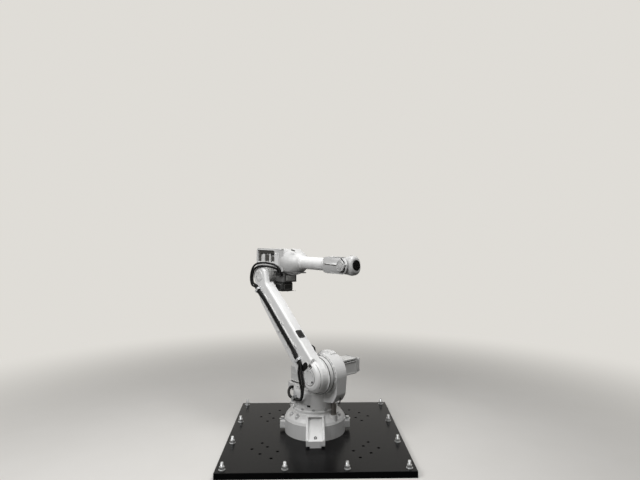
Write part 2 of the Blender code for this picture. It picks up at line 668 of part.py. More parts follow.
def arm_house(forearm):
    """The house behind the forearm: a rounded box run into a dome, open over its motors."""
    side = rounded([(HOUSE_REAR, HOUSE_REAR_BOTTOM, 0.02), (0.03, HOUSE_REAR_BOTTOM, 0),
                    (0.062, HOUSE_FRONT_BOTTOM, 0), (HOUSE_FRONT, HOUSE_FRONT_BOTTOM, 0.01),
                    (HOUSE_FRONT, HOUSE_TOP, 0.04), (HOUSE_REAR, HOUSE_TOP, 0.025)], 4)
    house = side_slab("arm_house", side, -HOUSE_HALF_WIDTH, HOUSE_HALF_WIDTH, PAINT, forearm)
    round_off(house, 0.014, 2)
    profile = [(0, DOME_END), (DOME_NOSE_RADIUS, DOME_END), (0.067, DOME_END - 0.014),
               (0.083, DOME_END - 0.040), (0.096, DOME_END - 0.076), (DOME_RADIUS, 0.206),
               (DOME_RADIUS, 0.176), (0.094, 0.140),
               (0, 0.140)]
    dome = turned("house_dome", profile, None, forearm, turn=ALONG_X)
    recess = box("motor_recess", (RECESS_REAR, -HOUSE_HALF_WIDTH - 0.05, RECESS_BOTTOM),
                 (RECESS_FRONT, -RECESS_INNER, RECESS_TOP), None, forearm)
    saddle = drum("elbow_saddle", ELBOW_DRIVE_RADIUS + GAP, -0.2, 0.2, None, forearm,
                  0, -ELBOW_OFFSET)
    join(house, dome)
    cut(house, recess, saddle)


def house_drives(forearm):
    """The elbow drive under the house and the wrist motors in its recess."""
    drum("elbow_drive", ELBOW_DRIVE_RADIUS, -ELBOW_DRIVE_LEFT, ELBOW_SPLIT, DARK_PAINT, forearm,
         0, -ELBOW_OFFSET, 40, 0.004)
    block = box("axis3_motor", (AXIS3_MOTOR_REAR, -AXIS3_MOTOR_RIGHT, AXIS3_MOTOR_BOTTOM),
                (AXIS3_MOTOR_FRONT, AXIS3_MOTOR_LEFT, HOUSE_FRONT_BOTTOM - GAP), DARK_PAINT,
                forearm, 0.006)
    belly = cylinder("dome_seat", DOME_RADIUS + GAP, 0.4, None, forearm, (0.2, 0, 0), ALONG_X, 40)
    seat = drum("drive_seat", ELBOW_DRIVE_RADIUS + GAP, -0.2, 0.2, None, forearm, 0, -ELBOW_OFFSET)
    cut(block, belly, seat)
    cap = box("axis3_motor_cap", (AXIS3_CAP_REAR, -AXIS3_CAP_RIGHT, AXIS3_CAP_BOTTOM),
              (AXIS3_CAP_FRONT, AXIS3_CAP_LEFT, AXIS3_MOTOR_BOTTOM - GAP), DARK_PAINT, forearm,
              0.014)
    cut(cap, seat)
    side = AXIS3_MOTOR_RIGHT + GAP
    box("axis3_motor_plug", (ELBOW_PLUG_REAR, -ELBOW_PLUG_SIDE - 0.010, ELBOW_PLUG_TOP - 0.021),
        (ELBOW_PLUG_FRONT, -side, ELBOW_PLUG_TOP), PLASTIC, forearm, 0.003)
    floor = RECESS_BOTTOM + GAP
    for name, rear, front, high in (("axis4_motor", -0.146, -0.072, 0.050),
                                    ("axis5_motor", -0.060, 0.004, 0.058),
                                    ("axis6_motor", 0.016, 0.072, 0.044)):
        box(name, (rear, -0.080, floor), (front, -RECESS_INNER - GAP, high), MOTOR_PAINT, forearm,
            0.008)
    wall = HOUSE_HALF_WIDTH + GAP
    box("house_side_cover", (0.086, -wall - 0.004, -0.040), (0.134, -wall, 0.066), PAINT, forearm,
        0.0015)


def forearm_tube(forearm):
    """The slim forearm tube between the house and the wrist."""
    start = DOME_END + GAP
    profile = [(0, TUBE_END - GAP), (TUBE_RADIUS, TUBE_END - GAP), (TUBE_RADIUS, start + 0.014),
               (0.050, start + 0.010), (0.050, start), (0, start)]
    turned("forearm_tube", profile, PAINT, forearm, turn=ALONG_X, steps=36)


def wrist_section(x, half_width, half_height, square):
    """Corners of a six-sided section with a ridge along each side."""
    top = half_width * square
    return [(x, half_width, 0), (x, top, half_height), (x, -top, half_height),
            (x, -half_width, 0), (x, -top, -half_height), (x, top, -half_height)]


def wrist_housing(forearm):
    """The wrist: a faceted box that widens into a fork around the hand."""
    end = FOREARM_LENGTH + WRIST_HALF_HEIGHT
    high = WRIST_HALF_HEIGHT + 0.004
    sections = [wrist_section(TUBE_END, 0.050, WRIST_HALF_HEIGHT - 0.004, 0.78),
                wrist_section(TUBE_END + 0.022, 0.057, high, 0.82),
                wrist_section(FOREARM_LENGTH - 0.070, WRIST_HALF_WIDTH, high, 1.0),
                wrist_section(end + 0.004, WRIST_HALF_WIDTH, high, 1.0)]
    bm = bmesh.new()
    rings = [[bm.verts.new(corner) for corner in section] for section in sections]
    for ring, following in zip(rings, rings[1:]):
        for index in range(len(ring)):
            after = (index + 1) % len(ring)
            bm.faces.new((ring[index], ring[after], following[after], following[index]))
    bm.faces.new(rings[0])
    bm.faces.new(reversed(rings[-1]))
    bmesh.ops.recalc_face_normals(bm, faces=bm.faces)
    housing = new_object("wrist_housing", mesh_from("wrist_housing", bm), PAINT, forearm,
                         (0, 0, 0), (0, 0, 0))
    round_off(housing, 0.005, 2, 12)
    half = WRIST_HALF_HEIGHT
    outline = rounded([(TUBE_END - 0.01, -half, 0), (end, -half, half - 0.001),
                       (end, half, half - 0.001), (TUBE_END - 0.01, half, 0)], 8)
    envelope = side_slab("wrist_envelope", outline, -0.09, 0.09, None, forearm)
    fork = drum("fork_gap", FORK_RELIEF, -FORK_HALF_GAP, FORK_HALF_GAP, None, forearm,
                FOREARM_LENGTH, 0)
    combine(housing, envelope, "INTERSECT")
    cut(housing, fork)
    drop = arc(0, 0, WRIST_COVER_RADIUS, -225, 45, 18) + [Vector((0, WRIST_COVER_RADIUS * 1.32))]
    for name, sign in (("wrist_cover_right", -1), ("wrist_cover_left", 1)):
        middle = WRIST_HALF_WIDTH + GAP + WRIST_COVER_THICKNESS / 2
        cover = slab(name, drop, WRIST_COVER_THICKNESS, PAINT, forearm,
                     (FOREARM_LENGTH, sign * middle, 0), SIDE_VIEW)
        round_off(cover, 0.0015, 1)


def wrist_hand(wrist):
    """The tilting hand between the fork's cheeks, and its turning tool flange."""
    hub = HAND_HUB_RADIUS
    high = HAND_HALF_HEIGHT
    outline = rounded([(-hub, -hub, hub - 0.001), (0.024, -high, 0.03), (HAND_FRONT, -high, 0.036),
                       (HAND_FRONT, high, 0.036), (0.024, high, 0.03), (-hub, hub, hub - 0.001)], 5)
    hand = side_slab("wrist_hand", outline, -HAND_HALF_WIDTH, HAND_HALF_WIDTH, PAINT, wrist)
    round_off(hand, 0.020, 3)
    oval = [Vector((HAND_OVAL_WIDTH * math.copysign(abs(p.x) ** 0.8, p.x),
                    HAND_OVAL_HEIGHT * math.copysign(abs(p.y) ** 0.8, p.y)))
            for p in arc(0, 0, 1, 0, 345, 23)]
    envelope = slab("hand_envelope", oval, 0.4, None, wrist, turn=FORWARD_VIEW)
    pivot = drum("hand_pivot", 0.030, -FORK_HALF_GAP + GAP, FORK_HALF_GAP - GAP, None, wrist)
    combine(hand, envelope, "INTERSECT")
    join(hand, pivot)
    start = HAND_FRONT + GAP
    cylinder("tool_flange", FLANGE_RADIUS, FLANGE_REACH - start, PLASTIC, wrist,
             ((FLANGE_REACH + start) / 2, 0, 0), ALONG_X, 32, 0.0008)


def shoulder_hoses(turret):
    """The hoses from the lower clamp to the turret's bracket, and what they plug into."""
    lean = math.radians(ARM_LEAN)
    wall = 0.006
    bracket_x = -0.020
    z = BRACKET_HEIGHT
    inner = TURRET_NECK_RADIUS - 0.0006
    bracket = [(inner, z - 0.016), (0.200, z - 0.016), (0.200, z + 0.012), (0.190, z + 0.024),
               (inner, z + 0.024)]
    slab("hose_bracket", bracket, wall, ZINC, turret, (bracket_x, 0, 0),
         (math.radians(90), 0, math.radians(-90)))
    for name, shift in (("front", HOSE_PITCH / 2), ("rear", -HOSE_PITCH / 2)):
        side, height = arm_hose_knots(shift)[0][1:]
        side_here = 0.1775 + shift
        knots = []
        for up in (height - GAP, height - 0.020):
            x = hose_line(up) + shift
            knots.append((SHOULDER_FORWARD + x * math.cos(lean) + up * math.sin(lean), side,
                          SHOULDER_HEIGHT - x * math.sin(lean) + up * math.cos(lean)))
        knots += [(0.070 + shift * 1.7, 0.199, SHOULDER_HEIGHT + 0.017),
                  (0.086 + shift * 1.5, 0.200, SHOULDER_HEIGHT - 0.048),
                  (0.094 + shift * 1.4, 0.199 + shift * 0.6, SHOULDER_HEIGHT - 0.107),
                  (0.074 + shift * 1.4, 0.192 + shift * 1.2, z + 0.026),
                  (0.030, side_here + 0.004, z + 0.004), (0.004, side_here, z),
                  (bracket_x + wall / 2 + GAP, side_here, z)]
        hose("shoulder_hose_" + name, knots, turret)
    tail = bracket_x - wall / 2 - GAP
    rear_end = (SHELF_REAR + 0.080, SHELF_RIGHT + GAP, SHELF_TOP - 0.026)
    hose("turret_hose", [(tail, 0.177, z), (tail - 0.02, 0.177, z), (-0.085, 0.170, z + 0.004),
                         (-0.136, 0.138, z + 0.018), (rear_end[0], 0.100, rear_end[2]), rear_end],
         turret, radius=0.010)


def build():
    """Make every part of the robot in its link's frame."""
    floor_plate()
    seat = empty("base_seat", None, (0, BASE_Y, PLATE_THICKNESS + GAP))
    turret = empty("turret_axis", seat, turn=(0, 0, math.radians(HEADING)))
    shoulder = empty("shoulder_axis", turret, (SHOULDER_FORWARD, 0, SHOULDER_HEIGHT),
                     (0, math.radians(ARM_LEAN), 0))
    elbow = empty("elbow_axis", shoulder, (0, 0, ARM_LENGTH),
                  (0, math.radians(FOREARM_PITCH - ARM_LEAN), 0))
    forearm = empty("forearm_axis", elbow, (0, 0, ELBOW_OFFSET))
    wrist = empty("wrist_axis", forearm, (FOREARM_LENGTH, 0, 0),
                  (0, math.radians(TOOL_PITCH - FOREARM_PITCH), 0))
    base_casting(seat)
    base_fittings(seat)
    turret_casting(turret)
    turret_fittings(turret)
    shoulder_top(turret)
    shoulder_hoses(turret)
    lower_arm(shoulder)
    arm_hoses(shoulder)
    arm_fittings(shoulder)
    arm_house(forearm)
    house_drives(forearm)
    forearm_tube(forearm)
    wrist_housing(forearm)
    wrist_hand(wrist)


clear_scene()
parts = new_collection(NAME)
cutters = new_collection(NAME + "_cutters")
build()
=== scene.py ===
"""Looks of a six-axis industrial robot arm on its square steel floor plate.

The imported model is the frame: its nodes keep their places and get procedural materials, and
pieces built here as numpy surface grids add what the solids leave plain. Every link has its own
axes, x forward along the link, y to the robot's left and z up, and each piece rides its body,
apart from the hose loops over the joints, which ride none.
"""
from __future__ import annotations

import json
import logging
import math
from dataclasses import dataclass, replace
from enum import Enum
from typing import Iterable, Sequence

import bpy
import numpy as np
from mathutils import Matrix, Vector

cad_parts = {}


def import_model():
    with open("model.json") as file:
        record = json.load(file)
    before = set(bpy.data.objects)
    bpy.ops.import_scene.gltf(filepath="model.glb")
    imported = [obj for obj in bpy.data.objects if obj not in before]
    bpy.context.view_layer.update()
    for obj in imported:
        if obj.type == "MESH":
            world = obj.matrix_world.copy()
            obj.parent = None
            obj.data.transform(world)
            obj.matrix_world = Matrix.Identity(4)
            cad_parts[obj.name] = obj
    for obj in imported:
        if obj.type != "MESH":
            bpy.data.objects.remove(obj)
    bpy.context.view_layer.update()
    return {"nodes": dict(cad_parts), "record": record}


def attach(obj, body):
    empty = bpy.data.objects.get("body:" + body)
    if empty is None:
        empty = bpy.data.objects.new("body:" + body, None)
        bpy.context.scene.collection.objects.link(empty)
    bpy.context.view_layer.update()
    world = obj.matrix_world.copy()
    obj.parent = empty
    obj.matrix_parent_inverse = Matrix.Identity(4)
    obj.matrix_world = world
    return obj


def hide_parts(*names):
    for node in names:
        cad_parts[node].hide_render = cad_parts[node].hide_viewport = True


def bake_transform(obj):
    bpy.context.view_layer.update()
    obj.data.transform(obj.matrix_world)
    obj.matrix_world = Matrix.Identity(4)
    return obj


LOG = logging.getLogger("robot_arm")
Point = Sequence[float]
HOSE_RADIUS = 0.008
HOSE_PITCH = 0.02
HOSE_FOOT, HOSE_HEAD = (0.16, -0.018), (0.9, -0.08)
HEADING = -49.5
ARM_LEAN = -42.3
ELBOW_TURN = 43.5
TOOL_TILT = -5.7
ARM_LENGTH = 0.9
ELBOW_OFFSET = 0.115
WRIST_REACH = 0.795
SHOULDER_FORWARD, SHOULDER_UP = 0.15, 0.445
PIECE_CREASE, NODE_CREASE = 38, 32


class Body(str, Enum):
    """The rigid bodies that pieces ride on."""

    BASE = "base"
    TURRET = "frame"
    ARM = "lower_arm_body"
    HOUSE = "arm_house_body"
    FOREARM = "forearm"
    HAND = "hand"
    FLANGE = "flange"


@dataclass(frozen=True)
class Frame:
    """A place and three axes that local points are set out in.

    Args:
        origin: The frame's origin in world metres.
        axes: Rows x, y and z of the frame, as world directions.
    """

    origin: np.ndarray
    axes: np.ndarray

    def out(self, points: np.ndarray) -> np.ndarray:
        """Local points in world metres."""
        return self.origin + np.asarray(points, float) @ self.axes

    def child(self, at: Point = (0, 0, 0), x: float = 0, y: float = 0, z: float = 0) -> Frame:
        """A frame at a local point, turned about x, then y, then z, in degrees.

        Args:
            at: The new origin, as a local point.
            x: Turn about x, in degrees.
            y: Turn about y, after it.
            z: Turn about z, last.

        Returns:
            The new frame.
        """
        turn = np.eye(3)
        for axis, degrees in enumerate((x, y, z)):
            c, s = math.cos(math.radians(degrees)), math.sin(math.radians(degrees))
            step = np.eye(3)
            a, b = (axis + 1) % 3, (axis + 2) % 3
            step[a, a], step[b, b], step[a, b], step[b, a] = c, c, -s, s
            turn = step @ turn
        return Frame(self.out(at), turn.T @ self.axes)


WORLD = Frame(np.zeros(3), np.eye(3))
SEAT = WORLD.child((0.0, 0.035, 0.0403))
PLATE = WORLD.child((0.0, 0.0, 0.04))
TURRET = SEAT.child(z=HEADING)
ARM = TURRET.child((SHOULDER_FORWARD, 0, SHOULDER_UP), y=ARM_LEAN)
ELBOW = ARM.child((0, 0, ARM_LENGTH), y=ELBOW_TURN)
FOREARM = ELBOW.child((0, 0, ELBOW_OFFSET))
WRIST = FOREARM.child((WRIST_REACH, 0, 0), y=TOOL_TILT)


@dataclass
class Shape:
    """Points and faces of a closed surface.

    Args:
        points: An N by 3 array of local points.
        faces: Lists of point numbers.
        uv: One pair for each point, or None.
    """

    points: np.ndarray
    faces: list[list[int]]
    uv: np.ndarray | None = None

    def placed(self, frame: Frame) -> Shape:
        """The shape set out in a frame."""
        return Shape(frame.out(self.points), self.faces, self.uv)

    def copies(self, frames: Iterable[Frame]) -> Shape:
        """One shape made of a copy in each frame."""
        return merged([self.placed(frame) for frame in frames])


def merged(shapes: Sequence[Shape]) -> Shape:
    """Several shapes as one, which keeps their surfaces apart.

    Args:
        shapes: The shapes; their coordinates are kept where all have them.

    Returns:
        One shape.
    """
    faces, start = [], 0
    for shape in shapes:
        faces += [[start + index for index in face] for face in shape.faces]
        start += len(shape.points)
    keep_uv = all(shape.uv is not None for shape in shapes)
    uv = np.concatenate([shape.uv for shape in shapes]) if keep_uv else None
    return Shape(np.concatenate([shape.points for shape in shapes]), faces, uv)


def grid_faces(rows: int, columns: int) -> list[list[int]]:
    """Quads between neighbouring rings of points, each ring closed on itself.

    Args:
        rows: Number of rings.
        columns: Points in each ring.

    Returns:
        The point numbers of each quad.
    """
    row = np.arange(rows - 1)[:, None] * columns
    here = np.arange(columns)[None, :]
    after = (here + 1) % columns
    quads = np.stack([row + here, row + after, row + columns + after, row + columns + here], -1)
    return quads.reshape(-1, 4).tolist()


def loft(rings: np.ndarray, uv: np.ndarray | None = None) -> Shape:
    """A closed skin over a stack of rings, counter-clockwise from below, with flat ends.

    Args:
        rings: R rings of C points, an R by C by 3 array from bottom to top.
        uv: Optional R by C by 2 coordinates.

    Returns:
        The closed shape.
    """
    rows, columns, _ = rings.shape
    faces = grid_faces(rows, columns)
    faces.append(list(range(columns))[::-1])
    faces.append(list(range((rows - 1) * columns, rows * columns)))
    return Shape(rings.reshape(-1, 3), faces, None if uv is None else uv.reshape(-1, 2))


def arc_corners(corners: Sequence[Point], steps: int = 5) -> np.ndarray:
    """A closed outline whose corners (x, y, radius) become arcs tangent to both sides.

    Args:
        corners: (x, y, radius) of each corner, in order.
        steps: Pieces that each arc is cut into.

    Returns:
        N by 2 points.
    """
    made = []
    count = len(corners)
    for index, (x, y, radius) in enumerate(corners):
        here = np.array((x, y), float)
        if radius <= 0:
            made.append(here[None])
            continue
        back = np.array(corners[index - 1][:2], float) - here
        ahead = np.array(corners[(index + 1) % count][:2], float) - here
        back, ahead = back / np.linalg.norm(back), ahead / np.linalg.norm(ahead)
        half = math.acos(float(np.clip(back @ ahead, -1, 1))) / 2
        middle = back + ahead
        centre = here + middle / np.linalg.norm(middle) * radius / math.sin(half)
        reach = radius / math.tan(half)
        first, last = here + back * reach - centre, here + ahead * reach - centre
        start = math.atan2(first[1], first[0])
        sweep = (math.atan2(last[1], last[0]) - start + math.pi) % math.tau - math.pi
        angle = start + sweep * np.linspace(0, 1, steps + 1)
        made.append(centre + radius * np.stack([np.cos(angle), np.sin(angle)], -1))
    return np.concatenate(made)


def rectangle(low: Point, high: Point, corner: float, steps: int = 4) -> np.ndarray:
    """The outline of a rectangle with round corners, between two opposite corners."""
    return arc_corners([(low[0], low[1], corner), (high[0], low[1], corner), (high[0], high[1], corner),
        (low[0], high[1], corner)], steps)


def rect(x: float, y: float, corner: float, steps: int = 4) -> np.ndarray:
    """A rounded rectangle about the origin, x and y half its sides."""
    return rectangle((-x, -y), (x, y), corner, steps)


def level(outline: np.ndarray, z: float) -> np.ndarray:
    """An outline's points at a height."""
    return np.column_stack([outline, np.full(len(outline), z)])


def polar(radius: float, degrees: float) -> tuple[float, float]:
    """A point on a circle about the origin."""
    return radius * math.cos(math.radians(degrees)), radius * math.sin(math.radians(degrees))


def circle(radius: float, sides: int = 32, turn: float = 0) -> np.ndarray:
    """A counter-clockwise ring of points."""
    angle = np.linspace(0, math.tau, sides, endpoint=False) + math.radians(turn)
    return radius * np.stack([np.cos(angle), np.sin(angle)], -1)


def lathe(corners: Sequence[Point], sides: int = 48, steps: int = 4) -> Shape:
    """A turned solid about z.

    A point of the profile at radius r and height z becomes the ring (r cos a, r sin a, z), with
    a from 0 to a full turn. The profile runs from the bottom's middle out and up to the top's.

    Args:
        corners: (radius, z, rounding) from bottom to top; the flat ends close by themselves.
        sides: Points round the axis.
        steps: Points on each rounding.

    Returns:
        The closed shape.
    """
    ends = [(*corners[0][:2], 0), *corners[1:-1], (*corners[-1][:2], 0)]
    ring = circle(1, sides)
    return loft(np.array([level(radius * ring, z) for radius, z in arc_corners(ends, steps)]))


def outline_normals(outline: np.ndarray) -> np.ndarray:
    """Outward directions at the points of a counter-clockwise outline, scaled to keep walls even.

    Args:
        outline: N by 2 points, counter-clockwise.

    Returns:
        N by 2 directions.
    """
    edge = np.roll(outline, -1, 0) - outline
    edge = edge / np.maximum(np.linalg.norm(edge, axis=1, keepdims=True), 1e-9)
    before = np.roll(edge, 1, 0)
    mean = edge + before
    mean = mean / np.maximum(np.linalg.norm(mean, axis=1, keepdims=True), 1e-9)
    stretch = 1 / np.maximum((mean * edge).sum(1, keepdims=True), 0.5)
    return np.stack([mean[:, 1], -mean[:, 0]], -1) * stretch


def prism(outline: np.ndarray, low: float, high: float, rim: float = 0.002, steps: int = 3,
        bottom_rim: float | None = None) -> Shape:
    """An outline in x and y raised from low to high along z, its rims rounded.

    At an angle a on a rim of radius r the outline shrinks by r (1 - cos a) and the height is
    r (1 - sin a) short of the end.

    Args:
        outline: N by 2 points, counter-clockwise.
        low: Height of the bottom.
        high: Height of the top.
        rim: Radius of the rims' rounding.
        steps: Pieces that each rounding is cut into.
        bottom_rim: Radius at the bottom, where it differs.

    Returns:
        The closed shape.
    """
    normals = outline_normals(outline)
    foot = rim if bottom_rim is None else bottom_rim
    rings = [(foot * (1 - math.cos(a)), low + foot * (1 - math.sin(a)))
        for a in np.linspace(math.pi / 2, 0, steps + 1)]
    rings += [(rim * (1 - math.cos(a)), high - rim * (1 - math.sin(a)))
        for a in np.linspace(0, math.pi / 2, steps + 1)]
    return loft(np.array([level(outline - normals * inset, z) for inset, z in rings]))


def rounded_box(low: Point, high: Point, corner: float = 0.006, rim: float = 0.003) -> Shape:
    """A block with round upright corners and softened rims."""
    return prism(rectangle(low, high, corner), low[2], high[2], rim)


def polyline(knots: Sequence[Point], steps: int) -> np.ndarray:
    """Straight runs between knots, each cut into steps.

    Args:
        knots: The points to join.
        steps: Pieces that each run is cut into.

    Returns:
        The points, with both ends.
    """
    knots = np.asarray(knots, float)
    runs = [np.linspace(a, b, steps, endpoint=False) for a, b in zip(knots, knots[1:])]
    return np.vstack([*runs, knots[-1:]])


def smooth_route(knots: Sequence[Point], spacing: float = 0.006) -> np.ndarray:
    """Points along a smooth curve through the knots, about a spacing apart.

    Between two knots the curve is the cubic whose direction at each knot is half the step from
    the knot before to the knot after.

    Args:
        knots: The points that the curve passes.
        spacing: About how far apart its points lie.

    Returns:
        The curve's points.
    """
    knots = np.asarray(knots, float)
    ends = np.vstack([2 * knots[0] - knots[1], knots, 2 * knots[-1] - knots[-2]])
    made = []
    for a, b, c, d in zip(ends, ends[1:], ends[2:], ends[3:]):
        count = max(2, round(float(np.linalg.norm(c - b)) / spacing))
        t = np.linspace(0, 1, count, endpoint=False)[:, None]
        made.append(0.5 * (2 * b + (c - a) * t + (2 * a - 5 * b + 4 * c - d) * t ** 2
            + (3 * b - a - 3 * c + d) * t ** 3))
    return np.vstack([*made, knots[-1:]])


def tube(route: np.ndarray, radius: float, sides: int = 16) -> Shape:
    """A tube along a route, with coordinates round (u) and along it in metres (v).

    The ring at each point is radius (cos a n + sin a b), where n and b are carried along the
    route without twist: each n is the one before it less its part along the new direction.

    Args:
        route: Points of the middle line.
        radius: The tube's radius.
        sides: Points round it.

    Returns:
        The closed tube.
    """
    along = np.gradient(route, axis=0)
    along /= np.linalg.norm(along, axis=1, keepdims=True)
    normal = np.cross(along[0], (0.3, 0.5, 0.81))
    normals = []
    for direction in along:
        normal = normal - direction * (normal @ direction)
        normal = normal / np.linalg.norm(normal)
        normals.append(normal)
    normals = np.array(normals)
    side = np.cross(along, normals)
    angle = np.linspace(0, math.tau, sides, endpoint=False)
    rings = route[:, None] + radius * (np.cos(angle)[None, :, None] * normals[:, None]
        + np.sin(angle)[None, :, None] * side[:, None])
    steps = np.linalg.norm(np.diff(route, axis=0), axis=1)
    length = np.concatenate([[0], np.cumsum(steps)])
    u = np.broadcast_to(angle / math.tau, (len(route), sides))
    v = np.broadcast_to(length[:, None], (len(route), sides))
    return loft(rings, np.stack([u, v], -1))


def hexagon(across: float) -> np.ndarray:
    """A hexagon by its width across flats."""
    return circle(across / math.sqrt(3), 6, 30)


def socket_screw(radius: float = 0.005, height: float = 0.005) -> Shape:
    """A cap screw standing on z 0: a turned head around a six-sided socket.

    Args:
        radius: The head's radius.
        height: The head's height.

    Returns:
        The head.
    """
    rim = radius * 0.14
    head = [(radius, 0.0), (radius, height - rim), (radius - rim, height)]
    sides = 24
    angle = np.linspace(0, math.tau, sides, endpoint=False)
    flat = 0.5 * radius / np.cos((angle + math.pi / 6) % (math.pi / 3) - math.pi / 6)
    mouth = flat[:, None] * circle(1, sides)
    return loft(np.array([*(level(circle(r, sides), z) for r, z in head), level(mouth, height),
        level(mouth * 0.98, height * 0.45)]))


def hex_bolt(across: float = 0.013, height: float = 0.006) -> Shape:
    """A hexagon head on its washer, standing on z 0.

    Args:
        across: Width across flats.
        height: Height of head and washer.

    Returns:
        The head and its washer.
    """
    washer = lathe([(0, 0, 0), (across * 0.85, 0, 0), (across * 0.85, height * 0.25, 0.0003),
        (0, height * 0.25, 0)], 24, 1)
    head = prism(hexagon(across), height * 0.25, height * 1.1, across * 0.05, 1, 0)
    return merged([washer, head])


def ring_frames(frame: Frame, radius: float, count: int, start: float = 0,
        sweep: float = 360) -> list[Frame]:
    """Frames on a circle round a frame's z, each turned to face outwards.

    Args:
        frame: The frame in the middle.
        radius: The circle's radius.
        count: How many frames.
        start: Angle of the first, in degrees.
        sweep: How far round they reach, in degrees.

    Returns:
        The frames, in order.
    """
    closed = abs(sweep - 360) < 0.01
    angles = start + np.linspace(0, sweep, count, endpoint=not closed)
    return [frame.child((*polar(radius, a), 0), z=float(a)) for a in angles]


def wrapped(rings: np.ndarray) -> Shape:
    """A skin over rings that also closes from the last ring to the first, like a tyre.

    Args:
        rings: R rings of C points, an R by C by 3 array.

    Returns:
        The closed shape.
    """
    rows, columns, _ = rings.shape
    faces = np.array(grid_faces(rows + 1, columns)) % (rows * columns)
    return Shape(rings.reshape(-1, 3), faces.tolist())


def band(outline: np.ndarray, width: float, low: float, high: float, rim: float = 0.001) -> Shape:
    """A frame that runs round inside an outline, of a width and between two heights.

    The section is a rectangle, width by high - low, whose two upper corners are cut at 45
    degrees by rim. Each of its points at an inset i lies on the outline moved in by i.

    Args:
        outline: N by 2 points, counter-clockwise.
        width: The section's width.
        low: Height of its bottom.
        high: Height of its top.
        rim: Size of the cut corners.

    Returns:
        The closed shape.
    """
    normals = outline_normals(outline)
    section = ((0, low), (0, high - rim), (rim, high), (width - rim, high), (width, high - rim),
        (width, low))
    return wrapped(np.array([level(outline - normals * inset, z) for inset, z in section]))


def hoop(outer: float, inner: float, low: float, high: float, rim: float = 0.001,
        sides: int = 48) -> Shape:
    """A flat ring about z."""
    return band(circle(outer, sides), outer - inner, low, high, rim)


def disc(radius: float, height: float, rim: float = 0.001, sides: int = 40) -> Shape:
    """A flat disc standing on z 0 with a rounded rim."""
    return lathe([(0, 0, 0), (radius, 0, 0), (radius, height, rim), (0, height, 0)], sides, 3)


def plate(width: float, height: float, thick: float, corner: float = 0.004,
        rim: float = 0.0008) -> Shape:
    """A flat plate centred on x and y 0, standing on z 0."""
    return rounded_box((-width / 2, -height / 2, 0), (width / 2, height / 2, thick), corner, rim)


def knurled(radius: float, low: float, high: float, count: int = 28, depth: float = 0.0006) -> Shape:
    """A grip ring whose radius is r + depth times the sign-like cube root of sin(count a).

    Args:
        radius: The mean radius.
        low: Height of the bottom.
        high: Height of the top.
        count: Ridges round the ring.
        depth: How far a ridge stands out.

    Returns:
        The closed shape.
    """
    sides = count * 4
    angle = np.linspace(0, math.tau, sides, endpoint=False)
    wave = np.cbrt(np.sin(count * angle)) * depth
    edges = ((low, 0.0012), (low + 0.001, 0), (high - 0.001, 0), (high, 0.0012))
    return loft(np.array([level((radius + wave - inset)[:, None] * circle(1, sides), z)
        for z, inset in edges]))


def connector(radius: float = 0.013, length: float = 0.03) -> Shape:
    """A round plug on a square flange: barrel, grip ring, back shell and cable gland.

    Args:
        radius: Radius of the grip ring.
        length: Its whole length.

    Returns:
        The plug, standing on z 0.
    """
    half = radius * 1.25
    flange = plate(2 * half, 2 * half, 0.003, 0.002, 0.0005)
    screws = socket_screw(0.0016, 0.0012).copies(corner_frames(WORLD.child((0, 0, 0.003)), 1.6 * half,
        1.6 * half))
    body = lathe([(0, 0.002, 0), (radius * 0.9, 0.002, 0), (radius * 0.9, length * 0.7, 0.001),
        (radius * 0.72, length * 0.74, 0.001), (radius * 0.72, length * 0.9, 0.002),
        (radius * 0.5, length, 0.001), (0, length, 0)], 28, 2)
    return merged([flange, screws, body, knurled(radius, length * 0.28, length * 0.62)])


def facing(frame: Frame, at: Point, way: str, turn: float = 0) -> Frame:
    """A frame on a face of a link, its z pointing out of the face.

    Args:
        frame: The link's frame.
        at: A point in it, (forward, to the right, up).
        way: Where the face looks: right, left, front, rear, up or down.
        turn: A turn about the face's own z, in degrees.

    Returns:
        The face's frame.
    """
    tilt = {"right": (90, 0), "left": (-90, 0), "front": (0, 90), "rear": (0, -90), "up": (0, 0),
        "down": (180, 0)}[way]
    found = frame.child((at[0], -at[1], at[2]), x=tilt[0], y=tilt[1])
    return found.child(z=turn)


def corner_frames(frame: Frame, width: float, height: float) -> list[Frame]:
    """Frames at the four corners of a rectangle centred on a frame."""
    return [frame.child((x, y, 0)) for x in (-width / 2, width / 2) for y in (-height / 2, height / 2)]


def hose_line(height: float) -> float:
    """Forward place of the hose bundle along the lower arm, on the line from foot to head."""
    (low, back), (high, front) = HOSE_FOOT, HOSE_HEAD
    return back + (front - back) * (height - low) / (high - low)


